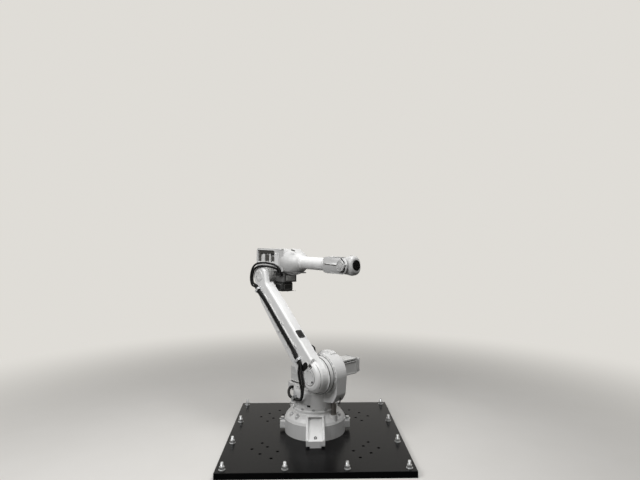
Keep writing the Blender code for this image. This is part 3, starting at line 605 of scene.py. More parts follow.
class Wire:
    """A shader output or a number, with arithmetic written as operators."""

    def __init__(self, tree: bpy.types.NodeTree, value: object) -> None:
        """Hold a socket or a number of a node tree."""
        self.tree = tree
        self.value = value

    def node(self, kind: str, output: int | str = 0, inputs: dict | None = None,
            **settings: object) -> Wire:
        """Any other node, wired from inputs and set by its properties.

        Args:
            kind: The node's type name without ShaderNode.
            output: Which output the result stands for.
            inputs: Input name or number to a Wire or constant.
            settings: Properties of the node.

        Returns:
            The chosen output.
        """
        made = self.tree.nodes.new("ShaderNode" + kind)
        for name, value in settings.items():
            setattr(made, name, value)
        for name, value in (inputs or {}).items():
            plug(self.tree, made.inputs[name], value)
        return Wire(self.tree, made.outputs[output])

    def math(self, operation: str, *values: object) -> Wire:
        """A Math node on this value and the others."""
        return self.node("Math", inputs=dict(enumerate((self, *values))), operation=operation)

    def __add__(self, other: object) -> Wire:
        """This value plus another."""
        return self.math("ADD", other)

    __radd__ = __add__

    def __sub__(self, other: object) -> Wire:
        """This value less another."""
        return self.math("SUBTRACT", other)

    def __rsub__(self, other: object) -> Wire:
        """Another value less this one."""
        return Wire(self.tree, other).math("SUBTRACT", self)

    def __mul__(self, other: object) -> Wire:
        """This value times another."""
        return self.math("MULTIPLY", other)

    __rmul__ = __mul__

    def __truediv__(self, other: object) -> Wire:
        """This value divided by another."""
        return self.math("DIVIDE", other)

    def fraction(self) -> Wire:
        """What is left of this value after its whole number."""
        return self.math("FRACT")

    def step(self, low: float, high: float) -> Wire:
        """0 below low, 1 above high and smooth between."""
        return self.node("MapRange", inputs={0: self, 1: low, 2: high, 3: 0.0, 4: 1.0},
            interpolation_type="SMOOTHSTEP")

    def colours(self, low: object, high: object) -> Wire:
        """A colour between two by this value."""
        return self.node("Mix", 2, {0: self, 6: low, 7: high}, data_type="RGBA")

    def axis(self, index: int) -> Wire:
        """One component of a vector."""
        return self.node("SeparateXYZ", index, {0: self})


def plug(tree: bpy.types.NodeTree, socket: bpy.types.NodeSocket, value: object) -> None:
    """Link a Wire to a socket, or set the socket to a constant.

    Args:
        tree: The node tree.
        socket: The input to set.
        value: A Wire, a number, a colour or a vector.
    """
    if isinstance(value, Wire):
        if isinstance(value.value, bpy.types.NodeSocket):
            tree.links.new(value.value, socket)
            return
        value = value.value
    if isinstance(value, tuple) and len(value) == 3 and socket.type == "RGBA":
        value = (*value, 1.0)
    socket.default_value = value


@dataclass(frozen=True)
class Finish:
    """A surface: its plain values, and how far texture moves them.

    Args:
        name: The material's name.
        slot: The record's material slot.
        colour: Base colour, linear.
        roughness: Plain roughness.
        metallic: 0 for paint, 1 for bare metal.
        coat: Clear coat weight.
        mottle: How far colour drifts in soft patches.
        dust: How much pale dust lies on faces that look up.
        grime: How much dark dirt hangs in streaks.
        grain: Height of the fine surface relief in metres.
        grain_scale: Grains in a metre.
        specular: Strength of the plain reflection.
    """

    name: str
    slot: str
    colour: tuple[float, float, float]
    roughness: float
    metallic: float = 0.0
    coat: float = 0.0
    mottle: float = 0.05
    dust: float = 0.1
    grime: float = 0.15
    grain: float = 0.00008
    grain_scale: float = 450.0
    specular: float = 0.5

    def material(self) -> bpy.types.Material:
        """The material, made on first use.

        Returns:
            The material.
        """
        if self.name in bpy.data.materials:
            return bpy.data.materials[self.name]
        made = bpy.data.materials.new(self.name)
        made.use_nodes = True
        tree = made.node_tree
        shader = tree.nodes["Principled BSDF"]
        start = Wire(tree, None)
        place = start.node("TexCoord", "Object")
        self.shade(start, place, shader)
        return made

    def shade(self, start: Wire, place: Wire, shader: bpy.types.Node) -> None:
        """Wire colour, roughness and relief into the shader.

        Args:
            start: A Wire of the tree, to make nodes with.
            place: Object coordinates.
            shader: The node to wire into.
        """
        soft = noise(place, 7.0, 4)
        fine = noise(place, 90.0, 5)
        streak = noise(stretched(place, (1, 1, 0.18)), 26.0, 6)
        up = start.node("NewGeometry", "Normal").axis(2)
        drift = (soft - 0.5) * 2 * self.mottle + (fine - 0.5) * self.mottle + 1.0
        base = start.node("Mix", 2, {0: 1.0, 6: self.colour, 7: grey(drift)}, data_type="RGBA",
            blend_type="MULTIPLY")
        dirt = streak.step(0.52, 0.78) * soft.step(0.35, 0.7) * self.grime
        base = dirt.colours(base, (0.1, 0.09, 0.075))
        dusty = up.step(0.35, 1.0) * fine.step(0.3, 0.75) * self.dust
        base = dusty.colours(base, (0.52, 0.49, 0.44))
        plug(start.tree, shader.inputs["Base Color"], base)
        rough = (fine - 0.5) * 0.14 + soft * 0.06 + dusty * 0.25 + dirt * 0.2 + self.roughness - 0.03
        plug(start.tree, shader.inputs["Roughness"], rough)
        for name, value in (("Metallic", self.metallic), ("Specular IOR Level", self.specular),
                ("Coat Weight", self.coat), ("Coat Roughness", 0.25)):
            shader.inputs[name].default_value = value
        bump = start.node("Bump", 0, {"Height": self.relief(place), "Distance": self.grain,
            "Strength": 1.0})
        plug(start.tree, shader.inputs["Normal"], bump)

    def relief(self, place: Wire) -> Wire:
        """The height of the fine relief; finishes with a pattern override it."""
        return noise(place, self.grain_scale, 2)


@dataclass(frozen=True)
class CastFinish(Finish):
    """Painted casting: a coarser skin under the paint."""

    def relief(self, place: Wire) -> Wire:
        """Orange peel over the sand-cast skin."""
        return noise(place, self.grain_scale, 2) * 0.6 + noise(place, self.grain_scale * 0.22, 3)


@dataclass(frozen=True)
class BrushedFinish(Finish):
    """Bare or plated metal, drawn along z."""

    def relief(self, place: Wire) -> Wire:
        """Fine lines along the metal."""
        return noise(stretched(place, (1, 1, 0.04)), self.grain_scale * 2.0, 3)


@dataclass(frozen=True)
class HoseFinish(Finish):
    """A hose in a spiral wrap, laid out on the tube's own coordinates."""

    pitch: float = 0.011

    def relief(self, place: Wire) -> Wire:
        """The wrap's turns, high in the middle of the band and low at its edges.

        Args:
            place: Any Wire of the tree.

        Returns:
            The height, from 0 to 1.
        """
        uv = place.node("UVMap", 0, uv_map="along")
        turn = (uv.axis(1) / self.pitch + uv.axis(0)).fraction()
        band = ((turn - 0.5) * 2).math("ABSOLUTE")
        return (1 - band).step(0.05, 0.35)


def noise(place: Wire, scale: float, detail: float) -> Wire:
    """Fractal noise from 0 to 1 at a scale per metre."""
    return place.node("TexNoise", 0, {"Vector": place, "Scale": scale, "Detail": detail})


def stretched(place: Wire, scale: Point) -> Wire:
    """Coordinates scaled along each axis."""
    return place.node("Mapping", 0, {"Vector": place, "Scale": Vector(scale)})


def grey(value: Wire) -> Wire:
    """A number as a grey colour."""
    return value.node("CombineColor", 0, {0: value, 1: value, 2: value})


WHITE = CastFinish("white_paint_look", "white_paint", (0.76, 0.76, 0.755), 0.38, coat=0.15,
    mottle=0.035, grime=0.22, grain=0.00012)
DARK = CastFinish("dark_paint_look", "dark_paint", (0.1, 0.1, 0.098), 0.5, mottle=0.25, grain=0.0003,
    grain_scale=260)
# Darker copy of the white paint: painted shade on the wrist's skin, covers, lids and hand.
WRIST_SHADED_WHITE = replace(WHITE, name="wrist_painted_shade_look", colour=(0.5, 0.5, 0.497), roughness=0.36)
# Darker copy of the white paint: painted shade on the forearm house.
HOUSE_SHADED_WHITE = replace(WHITE, name="house_painted_shade_look", colour=(0.58, 0.58, 0.575))
# Darker copy of the white paint: painted shade on the base casting.
BASE_SHADED_WHITE = replace(WHITE, name="base_painted_shade_look", colour=(0.66, 0.66, 0.655))
# Lighter copy of the white paint: painted light on the lower arm.
ARM_LIT_WHITE = replace(WHITE, name="arm_painted_light_look", colour=(0.85, 0.85, 0.845), roughness=0.36,
    mottle=0.03, grime=0.2)
CAST_GREY = CastFinish("cast_grey_look", "dark_paint", (0.46, 0.46, 0.447), 0.55, mottle=0.45,
    grain=0.0006, grain_scale=200)
BLACK_CAST = replace(DARK, name="black_cast_look", colour=(0.022, 0.022, 0.021), dust=0.04,
    specular=0.3)
MOTOR = Finish("motor_paint_look", "motor_paint", (0.66, 0.66, 0.65), 0.4, coat=0.1, mottle=0.04)
PLATE_PAINT = Finish("plate_paint_look", "plate_paint", (0.003, 0.003, 0.0034), 0.24, mottle=0.3,
    dust=0.004, grime=0.0, grain=0.0002, grain_scale=120, specular=0.1)
RUBBER = Finish("rubber_look", "black_rubber", (0.009, 0.009, 0.009), 0.55, mottle=0.2, dust=0.02,
    grime=0.0, specular=0.25)
HOSE = HoseFinish("hose_look", "black_rubber", (0.006, 0.006, 0.006), 0.5, mottle=0.2, dust=0.015,
    grime=0.0, grain=0.0009, specular=0.2)
PLASTIC = Finish("plastic_look", "black_plastic", (0.008, 0.008, 0.008), 0.46, mottle=0.2, dust=0.01,
    grime=0.0, grain=0.0001, grain_scale=900, specular=0.25)
# Near-black paint for real dark seams, joints and plates, and as painted shade in the house's recess,
# the arm's pocket and the house's slots.
SHADE_AND_SEAM_DARK = Finish("shade_and_seam_look", "dark_paint", (0.07, 0.068, 0.062), 0.6, mottle=0.5, dust=0.03,
    grain=0.0001, specular=0.25)
BORE = Finish("bore_look", "black_plastic", (0.0015, 0.0015, 0.0015), 0.75, dust=0.0, grime=0.0,
    specular=0.05)
STEEL = BrushedFinish("steel_look", "dark_steel", (0.2, 0.19, 0.18), 0.38, 0.9, mottle=0.15, dust=0.03,
    grime=0.1)
ZINC = BrushedFinish("zinc_look", "zinc", (0.55, 0.56, 0.57), 0.3, 1.0, mottle=0.12, dust=0.04,
    grime=0.2, grain=0.00005)
BRIGHT = replace(ZINC, name="bright_zinc_look", colour=(0.78, 0.79, 0.8), roughness=0.36, metallic=0.45,
    grime=0.1)
FINISHES = {made.slot: made for made in (WHITE, DARK, MOTOR, PLATE_PAINT, RUBBER, PLASTIC, STEEL, ZINC)}
# The house, base and wrist covers take darker copies of the white paint as painted shade, and the lower
# arm takes a lighter copy as painted light.
NODE_FINISHES = {"elbow_drive": CAST_GREY, "axis3_gearbox": CAST_GREY, "axis3_motor_cap": BLACK_CAST,
    "axis1_bearing_ring": WHITE, "tool_flange": BORE, "arm_house": HOUSE_SHADED_WHITE,
    "base_casting": BASE_SHADED_WHITE, "lower_arm": ARM_LIT_WHITE, "wrist_cover_right": WRIST_SHADED_WHITE,
    "wrist_cover_left": WRIST_SHADED_WHITE, "hose_clamp_lower": BRIGHT, "hose_clamp_upper": BRIGHT}


def soften(mesh: bpy.types.Mesh, degrees: float) -> None:
    """Shade a mesh smooth, apart from edges sharper than an angle."""
    mesh.shade_smooth()
    mesh.set_sharp_from_angle(angle=math.radians(degrees))


def add(name: str, shape: Shape, finish: Finish, body: Body | None,
        frame: Frame | None = None) -> bpy.types.Object:
    """Make a piece that rides a body.

    Args:
        name: The piece's name.
        shape: Its surface, local to frame, or in world metres without one.
        finish: Its surface finish.
        body: The body that it moves with, or None to leave it on no body.
        frame: Where its local points are set out.

    Returns:
        The new object.
    """
    placed = shape if frame is None else shape.placed(frame)
    mesh = bpy.data.meshes.new(name)
    mesh.from_pydata(placed.points.tolist(), [], placed.faces)
    mesh.materials.append(finish.material())
    if placed.uv is not None:
        layer = mesh.uv_layers.new(name="along")
        corners = np.empty(len(mesh.loops), np.int32)
        mesh.loops.foreach_get("vertex_index", corners)
        layer.data.foreach_set("uv", placed.uv[corners].astype(np.float32).ravel())
    mesh.validate()
    soften(mesh, PIECE_CREASE)
    piece = bpy.data.objects.new(name, mesh)
    bpy.context.scene.collection.objects.link(piece)
    if body is not None:
        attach(piece, body.value)
    LOG.info("%s: %d faces", name, len(placed.faces))
    return piece


@dataclass
class Assembly:
    """Pieces that ride one body.

    Args:
        body: That body.
    """

    body: Body

    def put(self, name: str, shape: Shape, finish: Finish,
            frame: Frame | None = None) -> bpy.types.Object:
        """Make one piece of the assembly, set out in a frame."""
        return add(name, shape, finish, self.body, frame)

    def screws(self, name: str, radius: float, height: float, frames: Iterable[Frame]) -> None:
        """Zinc-plated cap screws, one in each frame."""
        self.put(name, socket_screw(radius, height).copies(frames), ZINC)


@dataclass
class Studio:
    """Floor, lamps, world and camera."""

    focal_px: float = 458.6
    sensor: float = 36.0
    image_width: int = 640
    camera_at: tuple[float, float, float] = (-0.0382, -3.355, 1.3835)
    yaw: float = -1.27
    pitch: float = 0.79
    backdrop: tuple[float, float, float] = (0.74, 0.72, 0.68)

    def build(self) -> None:
        """Make the stage and the camera."""
        self.camera()
        self.floor()
        self.world()
        self.lamp("ceiling", (0.45, -0.8, 3.6), (2.2, 2.2), 88)
        self.lamp("left_window", (-2.4, -2.1, 3.0), (2.0, 1.6), 80)
        LOG.info("studio ready")

    def camera(self) -> None:
        """The photograph's camera, worked out for a 640 by 480 image."""
        data = bpy.data.cameras.new("camera")
        data.sensor_width = self.sensor
        data.lens = self.sensor * self.focal_px / self.image_width
        data.sensor_fit = "HORIZONTAL"
        camera = bpy.data.objects.new("camera", data)
        camera.location = self.camera_at
        camera.rotation_euler = (math.radians(90 + self.pitch), 0, math.radians(self.yaw))
        bpy.context.scene.collection.objects.link(camera)
        bpy.context.scene.camera = camera

    def lamp(self, name: str, at: Point, size: tuple[float, float], watts: float) -> None:
        """A soft rectangular lamp that looks at the arm.

        Args:
            name: The lamp's name.
            at: Where it hangs.
            size: Its two sides.
            watts: Its power.
        """
        data = bpy.data.lights.new(name, "AREA")
        data.shape = "RECTANGLE"
        data.size, data.size_y = size
        data.energy = watts
        lamp = bpy.data.objects.new(name, data)
        lamp.location = at
        towards = Vector((0, 0, 0.8)) - Vector(at)
        lamp.rotation_euler = towards.to_track_quat("-Z", "Y").to_euler()
        bpy.context.scene.collection.objects.link(lamp)

    def floor(self) -> None:
        """A pale floor that fades into the backdrop's colour away from the object."""
        mesh = bpy.data.meshes.new("floor")
        far = 60.0
        mesh.from_pydata([(-far, -far, -0.001), (far, -far, -0.001), (far, far, -0.001),
            (-far, far, -0.001)], [], [(0, 1, 2, 3)])
        floor = bpy.data.objects.new("floor", mesh)
        bpy.context.scene.collection.objects.link(floor)
        made = bpy.data.materials.new("floor_look")
        made.use_nodes = True
        tree = made.node_tree
        shader = tree.nodes["Principled BSDF"]
        shader.inputs["Roughness"].default_value = 0.7
        start = Wire(tree, None)
        place = start.node("TexCoord", "Object")
        tone = noise(place, 3.0, 5).colours((0.7, 0.685, 0.655), (0.74, 0.725, 0.7))
        straight = start.node("LightPath", "Is Camera Ray")
        plug(tree, shader.inputs["Base Color"], straight.colours((0.07, 0.069, 0.066), tone))
        away = place.node("VectorMath", "Value", {0: place}, operation="LENGTH").step(1.6, 4.5)
        seen = straight * away
        glow = start.node("Emission", 0, {"Color": self.backdrop, "Strength": 1.0})
        both = start.node("MixShader", 0, {0: seen, 1: Wire(tree, shader.outputs[0]), 2: glow})
        plug(tree, tree.nodes["Material Output"].inputs["Surface"], both)
        mesh.materials.append(made)

    def world(self) -> None:
        """An even sky for the light, and the backdrop's colour for what the camera sees."""
        world = bpy.data.worlds.new("world")
        bpy.context.scene.world = world
        world.use_nodes = True
        tree = world.node_tree
        start = Wire(tree, None)
        light = start.node("Background", 0, {"Color": (1.0, 0.99, 0.97), "Strength": 0.08})
        seen = start.node("Background", 0, {"Color": self.backdrop, "Strength": 1.0})
        which = start.node("LightPath", "Is Camera Ray").math("MAXIMUM",
            start.node("LightPath", "Is Glossy Ray"))
        both = start.node("MixShader", 0, {0: which, 1: light, 2: seen})
        plug(tree, tree.nodes["World Output"].inputs["Surface"], both)


def dress_nodes(model: dict) -> None:
    """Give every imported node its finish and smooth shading.
    """
    slots = {part["node"]: part["material_slot"] for part in model["record"]["subparts"]}
    for name, thing in model["nodes"].items():
        thing.data.materials.clear()
        finish = NODE_FINISHES.get(name, FINISHES[slots[name]])
        thing.data.materials.append(finish.material())
        soften(thing.data, NODE_CREASE)
    LOG.info("%d nodes dressed", len(slots))


@dataclass
class FloorAnchors(Assembly):
    """Threaded studs with nuts and washers around the plate's edge."""

    body: Body = Body.BASE
    outer: float = 0.567
    inner: float = 0.189
    stud_radius: float = 0.0095
    stud_height: float = 0.046
    nut_across: float = 0.03
    nut_height: float = 0.017
    washer_height: float = 0.0035

    def stud(self) -> Shape:
        """A stud whose radius follows the thread: r + d sin(height in pitches and turn).

        Returns:
            The stud, standing on z 0.
        """
        sides, pitch, depth = 20, 0.0025, 0.0006
        height = np.arange(0, self.stud_height, pitch / 4)
        angle = np.linspace(0, math.tau, sides, endpoint=False)
        phase = math.tau * height[:, None] / pitch - angle[None]
        end = np.clip((self.stud_height - height) / 0.003, 0, 1)[:, None]
        radius = (self.stud_radius - 0.0015 + 0.0015 * end) + depth * np.sin(phase)
        rings = np.stack([radius * np.cos(angle), radius * np.sin(angle),
            np.broadcast_to(height[:, None], radius.shape)], -1)
        return loft(rings)

    def build(self) -> None:
        """Set the twelve anchors."""
        reach = (-self.outer, -self.inner, self.inner, self.outer)
        places = [(x, y) for x in reach for y in reach if max(abs(x), abs(y)) > self.inner + 0.01]
        thick = self.washer_height
        washer = lathe([(0, 0, 0), (0.0205, 0, 0), (0.0205, thick, 0.0008), (0, thick, 0)], 32, 2)
        nut = prism(hexagon(self.nut_across), thick, thick + self.nut_height, 0.0016, 2)
        frames = [PLATE.child((x, y, 0), z=37.0 * x * 9 + 21 * y * 7) for x, y in places]
        self.put("anchor_washers", washer.copies(frames), ZINC)
        self.put("anchor_nuts", nut.copies(frames), ZINC)
        self.put("anchor_studs", self.stud().copies(frames), ZINC)
        LOG.info("%d floor anchors", len(places))


@dataclass
class Motor(Assembly):
    """What a servo motor's plain block leaves out: its ridges, seal and plugs.

    Args:
        name: Prefix of the pieces.
        base: A frame at the middle of the block's near end, z running along the motor.
        half: Half the block's width in x and in y.
        length: The block's length.
        corner: Rounding of the block's corners.
        ridges: How many flat ribs run round it.
        plugs: (along, across, size) of each round connector.
        plug_side: Turn about the motor, in degrees, from its +x face to the one with plugs.
    """

    name: str
    base: Frame
    half: tuple[float, float]
    length: float
    corner: float = 0.008
    ridges: int = 3
    plugs: tuple[tuple[float, float, float], ...] = ()
    plug_side: float = 0.0

    def outline(self, grow: float) -> np.ndarray:
        """The block's section, grown outwards."""
        return rect(self.half[0] + grow, self.half[1] + grow, self.corner + grow)

    def build(self) -> None:
        """Add the ribs, the seal and the connectors."""
        ribs = []
        for index in range(self.ridges):
            z = self.length * (0.1 + 0.8 * index / max(1, self.ridges - 1))
            ribs.append(band(self.outline(0.0022), 0.006, z - 0.004, z + 0.004, 0.0012))
        self.put(self.name + "_ribs", merged(ribs), MOTOR, self.base)
        seal = band(self.outline(0.0006), 0.003, -0.0022, 0.0022, 0.0005)
        self.put(self.name + "_seal", seal, RUBBER, self.base)
        for index, (along, across, size) in enumerate(self.plugs):
            side = self.base.child(z=self.plug_side)
            place = side.child((self.half[0], across, along), y=90)
            self.put(f"{self.name}_plug_{index}", connector(size, size * 2.3), PLASTIC, place)


@dataclass
class BaseTrim(Assembly):
    """Bolts, rims and fittings of the fixed foot."""

    body: Body = Body.BASE
    deck_angles: tuple[float, ...] = (118, 152, 208, 228, 332)
    deck_circle: float = 0.188
    pin_angle: float = -45.9
    wall_inner: float = 0.046
    wall_outer: float = 0.064
    lug_reach: float = 0.2555

    def build(self) -> None:
        """Add every piece of the foot."""
        self.deck()
        self.chute_rim()
        self.floor_bolts()
        self.rear_panel()
        LOG.info("base trimmed")

    def deck(self) -> None:
        """Screws on the deck's bosses, the bearing's split line and the stop pin's collar."""
        frames = [SEAT.child((*polar(self.deck_circle, a), 0.15)) for a in self.deck_angles]
        self.screws("deck_screws", 0.0085, 0.009, frames)
        washers = disc(0.012, 0.0022, 0.0006, 24).copies(frames)
        self.put("deck_washers", washers, ZINC)
        lines = merged([hoop(0.164, 0.16, 0.15, 0.1532, 0.0006, 64),
            hoop(0.2206, 0.217, 0.0985, 0.1015, 0.0008, 64)])
        self.put("deck_lines", lines, WHITE, SEAT)
        self.put("neck_lip", hoop(0.1622, 0.159, 0.1575, 0.1606, 0.0008, 64), WHITE, SEAT)
        pin = SEAT.child((*polar(self.deck_circle, self.pin_angle), 0.1566))
        self.put("stop_pin_collar", hoop(0.0225, 0.0187, 0, 0.006, 0.001, 32), STEEL, pin)
        self.put("stop_pin_screw", socket_screw(0.008, 0.004), STEEL, pin.child((0, 0, 0.0782)))

    def chute_rim(self) -> None:
        """A raised lip along the two walls of the front foot, joined over the neck's foot."""
        middle = (self.wall_inner + self.wall_outer) / 2
        slope = [(-0.318, 0.046), (-0.2145, 0.1255), (-0.1925, 0.1425), (-0.176, 0.156)]
        route = [(side * middle, y, z) for side, points in ((-1, slope), (1, slope[::-1]))
            for y, z in points]
        self.put("chute_lip", tube(polyline(route, 8), 0.0066, 12), WHITE, SEAT)
        ribs = [rounded_box((-self.wall_inner, y - 0.003, z - 0.02),
            (self.wall_inner, y + 0.003, z - 0.008), 0.001, 0.001)
            for y, z in ((-0.296, 0.05), (-0.262, 0.076), (-0.232, 0.099))]
        self.put("chute_ribs", merged(ribs), WHITE, SEAT)
        bolt = SEAT.child((0, -0.283, 0.0495), x=38.6)
        self.put("chute_bolt", merged([hoop(0.015, 0.008, 0, 0.003, 0.0008, 32),
            socket_screw(0.0105, 0.0085)]), PLASTIC, bolt)

    def floor_bolts(self) -> None:
        """Hold-down bolts on the two lugs."""
        reach = self.lug_reach - 0.018
        frames = [SEAT.child((x, 0, 0.077), z=20 * x) for x in (-reach, reach)]
        self.put("floor_bolts", hex_bolt(0.026, 0.016).copies(frames), ZINC)

    def rear_panel(self) -> None:
        """Screws, plug rings, air ports, a blank plate and the lid of the rear box."""
        panel = SEAT.child((0, 0.3626, 0.075), x=-90)
        self.screws("panel_screws", 0.0035, 0.0022, corner_frames(panel, 0.154, 0.098))
        rings = []
        for x, radius in ((-0.04, 0.0262), (0.035, 0.02)):
            place = SEAT.child((x, 0.3629, 0.08), x=-90)
            rings.append(knurled(radius, 0.008, 0.02, 30, 0.0008).placed(place))
            rings.append(hoop(radius + 0.006, radius - 0.004, 0, 0.004, 0.001, 40).placed(place))
        self.put("panel_plug_rings", merged(rings), PLASTIC)
        ports = [SEAT.child((x, 0.3629, 0.04), x=-90) for x in (-0.062, -0.034, 0.062)]
        self.put("panel_air_ports", merged([hex_bolt(0.016, 0.009).copies(ports),
            disc(0.0052, 0.016, 0.001, 20).copies(ports)]), ZINC)
        label = SEAT.child((0.1003, 0.235, 0.095), y=90)
        self.put("type_plate", plate(0.062, 0.09, 0.001, 0.003, 0.0004), ZINC, label)
        self.put("type_plate_rivets", disc(0.0022, 0.0014, 0.0008,
            14).copies(corner_frames(label.child((0, 0, 0.0009)), 0.052, 0.08)), STEEL)
        lid = SEAT.child((0, 0.245, 0.15))
        self.put("box_lid", plate(0.15, 0.15, 0.0025, 0.01, 0.001), WHITE, lid)
        self.screws("box_lid_screws", 0.004, 0.003, corner_frames(lid.child((0, 0, 0.0024)), 0.132,
            0.132))


@dataclass
class TurretTrim(Assembly):
    """Screws, rings and motor fittings of the turning frame."""

    body: Body = Body.TURRET
    gear_radius: float = 0.1285
    neck_radius: float = 0.158
    tag_angle: float = -107
    shoulder: tuple[float, float] = (SHOULDER_FORWARD, SHOULDER_UP)

    def build(self) -> None:
        """Add every piece of the frame."""
        self.neck()
        self.gearbox()
        self.cover()
        self.motors()
        self.bracket()
        LOG.info("turret trimmed")

    def neck(self) -> None:
        """Radial screws low on the neck, a split line, a bare tag and screws on the shelf."""
        low = [TURRET.child((*polar(self.neck_radius, a), 0.192), z=a).child(y=90)
            for a in range(15, 375, 30)]
        self.put("neck_screws", hex_bolt(0.012, 0.0045).copies(low), ZINC)
        self.put("neck_line", hoop(0.1592, 0.156, 0.2045, 0.2075, 0.0008, 64), WHITE, TURRET)
        tag = SEAT.child((*polar(self.neck_radius, self.tag_angle), 0.2185),
            z=self.tag_angle).child(y=90)
        self.put("neck_tag", plate(0.013, 0.024, 0.0022, 0.002, 0.0006), PLASTIC,
            tag.child((0, 0, -0.0012)))
        top = ring_frames(TURRET.child((0, 0, 0.3148)), 0.128, 10, 118, 180)
        self.screws("neck_top_screws", 0.0058, 0.0055, top)

    def gearbox(self) -> None:
        """The shoulder's seals, the flanges and screws on both faces, and the service lever."""
        x, z = self.shoulder
        right = facing(TURRET, (x, 0.05, z), "right")
        seal = merged([hoop(self.gear_radius + 0.001, 0.12, 0.019, 0.024, 0.0006, 72),
            hoop(self.gear_radius + 0.001, 0.12, 0.0542, 0.0588, 0.0006, 72)])
        self.put("shoulder_seals", seal, RUBBER, right)
        self.put("shoulder_flange", hoop(0.1402, 0.1285, 0.0002, 0.009, 0.002, 72), WHITE, right)
        screws = ring_frames(right.child((0, 0, 0.0088)), 0.1345, 24)
        self.screws("shoulder_flange_screws", 0.0038, 0.0036, screws)
        left = facing(TURRET, (x, -0.04, z), "left")
        self.put("shoulder_left_ring", hoop(0.122, 0.094, 0.0002, 0.005, 0.0015, 64), WHITE, left)
        self.screws("shoulder_left_screws", 0.0045, 0.0042,
            ring_frames(left.child((0, 0, 0.0048)), 0.108, 16))
        lever = smooth_route([(0.276, -0.03, 0.262), (0.292, -0.034, 0.27), (0.301, -0.036, 0.288),
            (0.304, -0.036, 0.312)], 0.004)
        self.put("service_lever", tube(lever, 0.0042, 12), PLASTIC, TURRET)

    def cover(self) -> None:
        """Screws on the plate over the shoulder."""
        x, z = self.shoulder
        spots = [TURRET.child((x + ahead, y, z + 0.153)) for ahead in (-0.038, 0.004)
            for y in (-0.014, 0.026)]
        self.screws("cover_screws", 0.0034, 0.0026, spots)

    def motors(self) -> None:
        """Ribs, seals, end covers and plugs of the two drive motors."""
        x, z = self.shoulder
        base = facing(TURRET, (x, -0.0403, z + 0.02), "left")
        Motor(self.body, "axis2_motor_trim", base, (0.055, 0.055), 0.195, ridges=2,
            plugs=((0.158, -0.012, 0.013), (0.118, 0.016, 0.01)), plug_side=180).build()
        self.motor_rails(base)
        end = base.child((0, 0, 0.2302))
        self.put("axis2_end_cover", plate(0.072, 0.072, 0.003, 0.01, 0.001), MOTOR, end)
        self.screws("axis2_end_screws", 0.0042, 0.004, corner_frames(end, 0.082, 0.082))
        grooves = [band(rect(0.051, 0.051, 0.011), 0.004, up - 0.0016, up + 0.0016, 0.0004)
            for up in (0.205, 0.213, 0.221)]
        self.put("axis2_cap_fins", merged(grooves), MOTOR, base)
        column = TURRET.child((-0.163, 0.015, 0.3153))
        Motor(self.body, "axis1_motor_trim", column, (0.065, 0.065), 0.1247, 0.016,
            plugs=((0.085, 0.0, 0.013),)).build()
        top = TURRET.child((-0.163, 0.015, 0.5))
        self.put("axis1_cap_lid", plate(0.09, 0.06, 0.0035, 0.01, 0.0012), MOTOR,
            top.child((0, 0.03, 0)))
        self.screws("axis1_cap_screws", 0.0042, 0.004, corner_frames(top, 0.094, 0.094))
        ring = band(rect(0.0582, 0.0582, 0.015), 0.004, 0.144, 0.149, 0.0012)
        self.put("axis1_cap_rib", ring, MOTOR, column)

    def motor_rails(self, base: Frame) -> None:
        """The shoulder motor's bright lid, the rails along the side that looks forward, and dark strips
        between them as painted shade in the grooves.

        Args:
            base: The motor's frame, z along it.
        """
        lid = rounded_box((-0.053, -0.059, 0.014), (0.059, -0.0545, 0.186), 0.004, 0.0015)
        rails = [lid, *(rounded_box((0.0535, low, 0.014), (proud, high, 0.186), 0.001, 0.0012)
            for low, high, proud in ((-0.0545, -0.048, 0.059), (-0.04, -0.033, 0.059),
            (0.043, 0.051, 0.058)))]
        self.put("axis2_motor_rails", merged(rails), MOTOR, base)
        # Dark strips between the rails: painted shade in the grooves.
        dark = [rounded_box((0.0545, low, 0.016), (0.0556, high, 0.184), 0.0004, 0.0003)
            for low, high in ((-0.0475, -0.0405), (0.0515, 0.0535), (-0.0325, -0.0305))]
        self.put("axis2_groove_painted_shade", merged(dark), DARK, base)

    def bracket(self) -> None:
        """Nuts and screws of the hose bracket."""
        spots = [facing(TURRET, (x, side, 0.258), way) for side in (0.1875, 0.1675)
            for x, way in ((-0.0168, "front"), (-0.0232, "rear"))]
        nuts = prism(hexagon(0.0215), 0.0002, 0.0072, 0.0008, 1, 0)
        self.put("bracket_nuts", nuts.copies(spots), ZINC)
        foot = facing(TURRET, (-0.0168, 0.161, 0.277), "front")
        self.put("bracket_screw", socket_screw(0.0028, 0.0026), ZINC, foot)


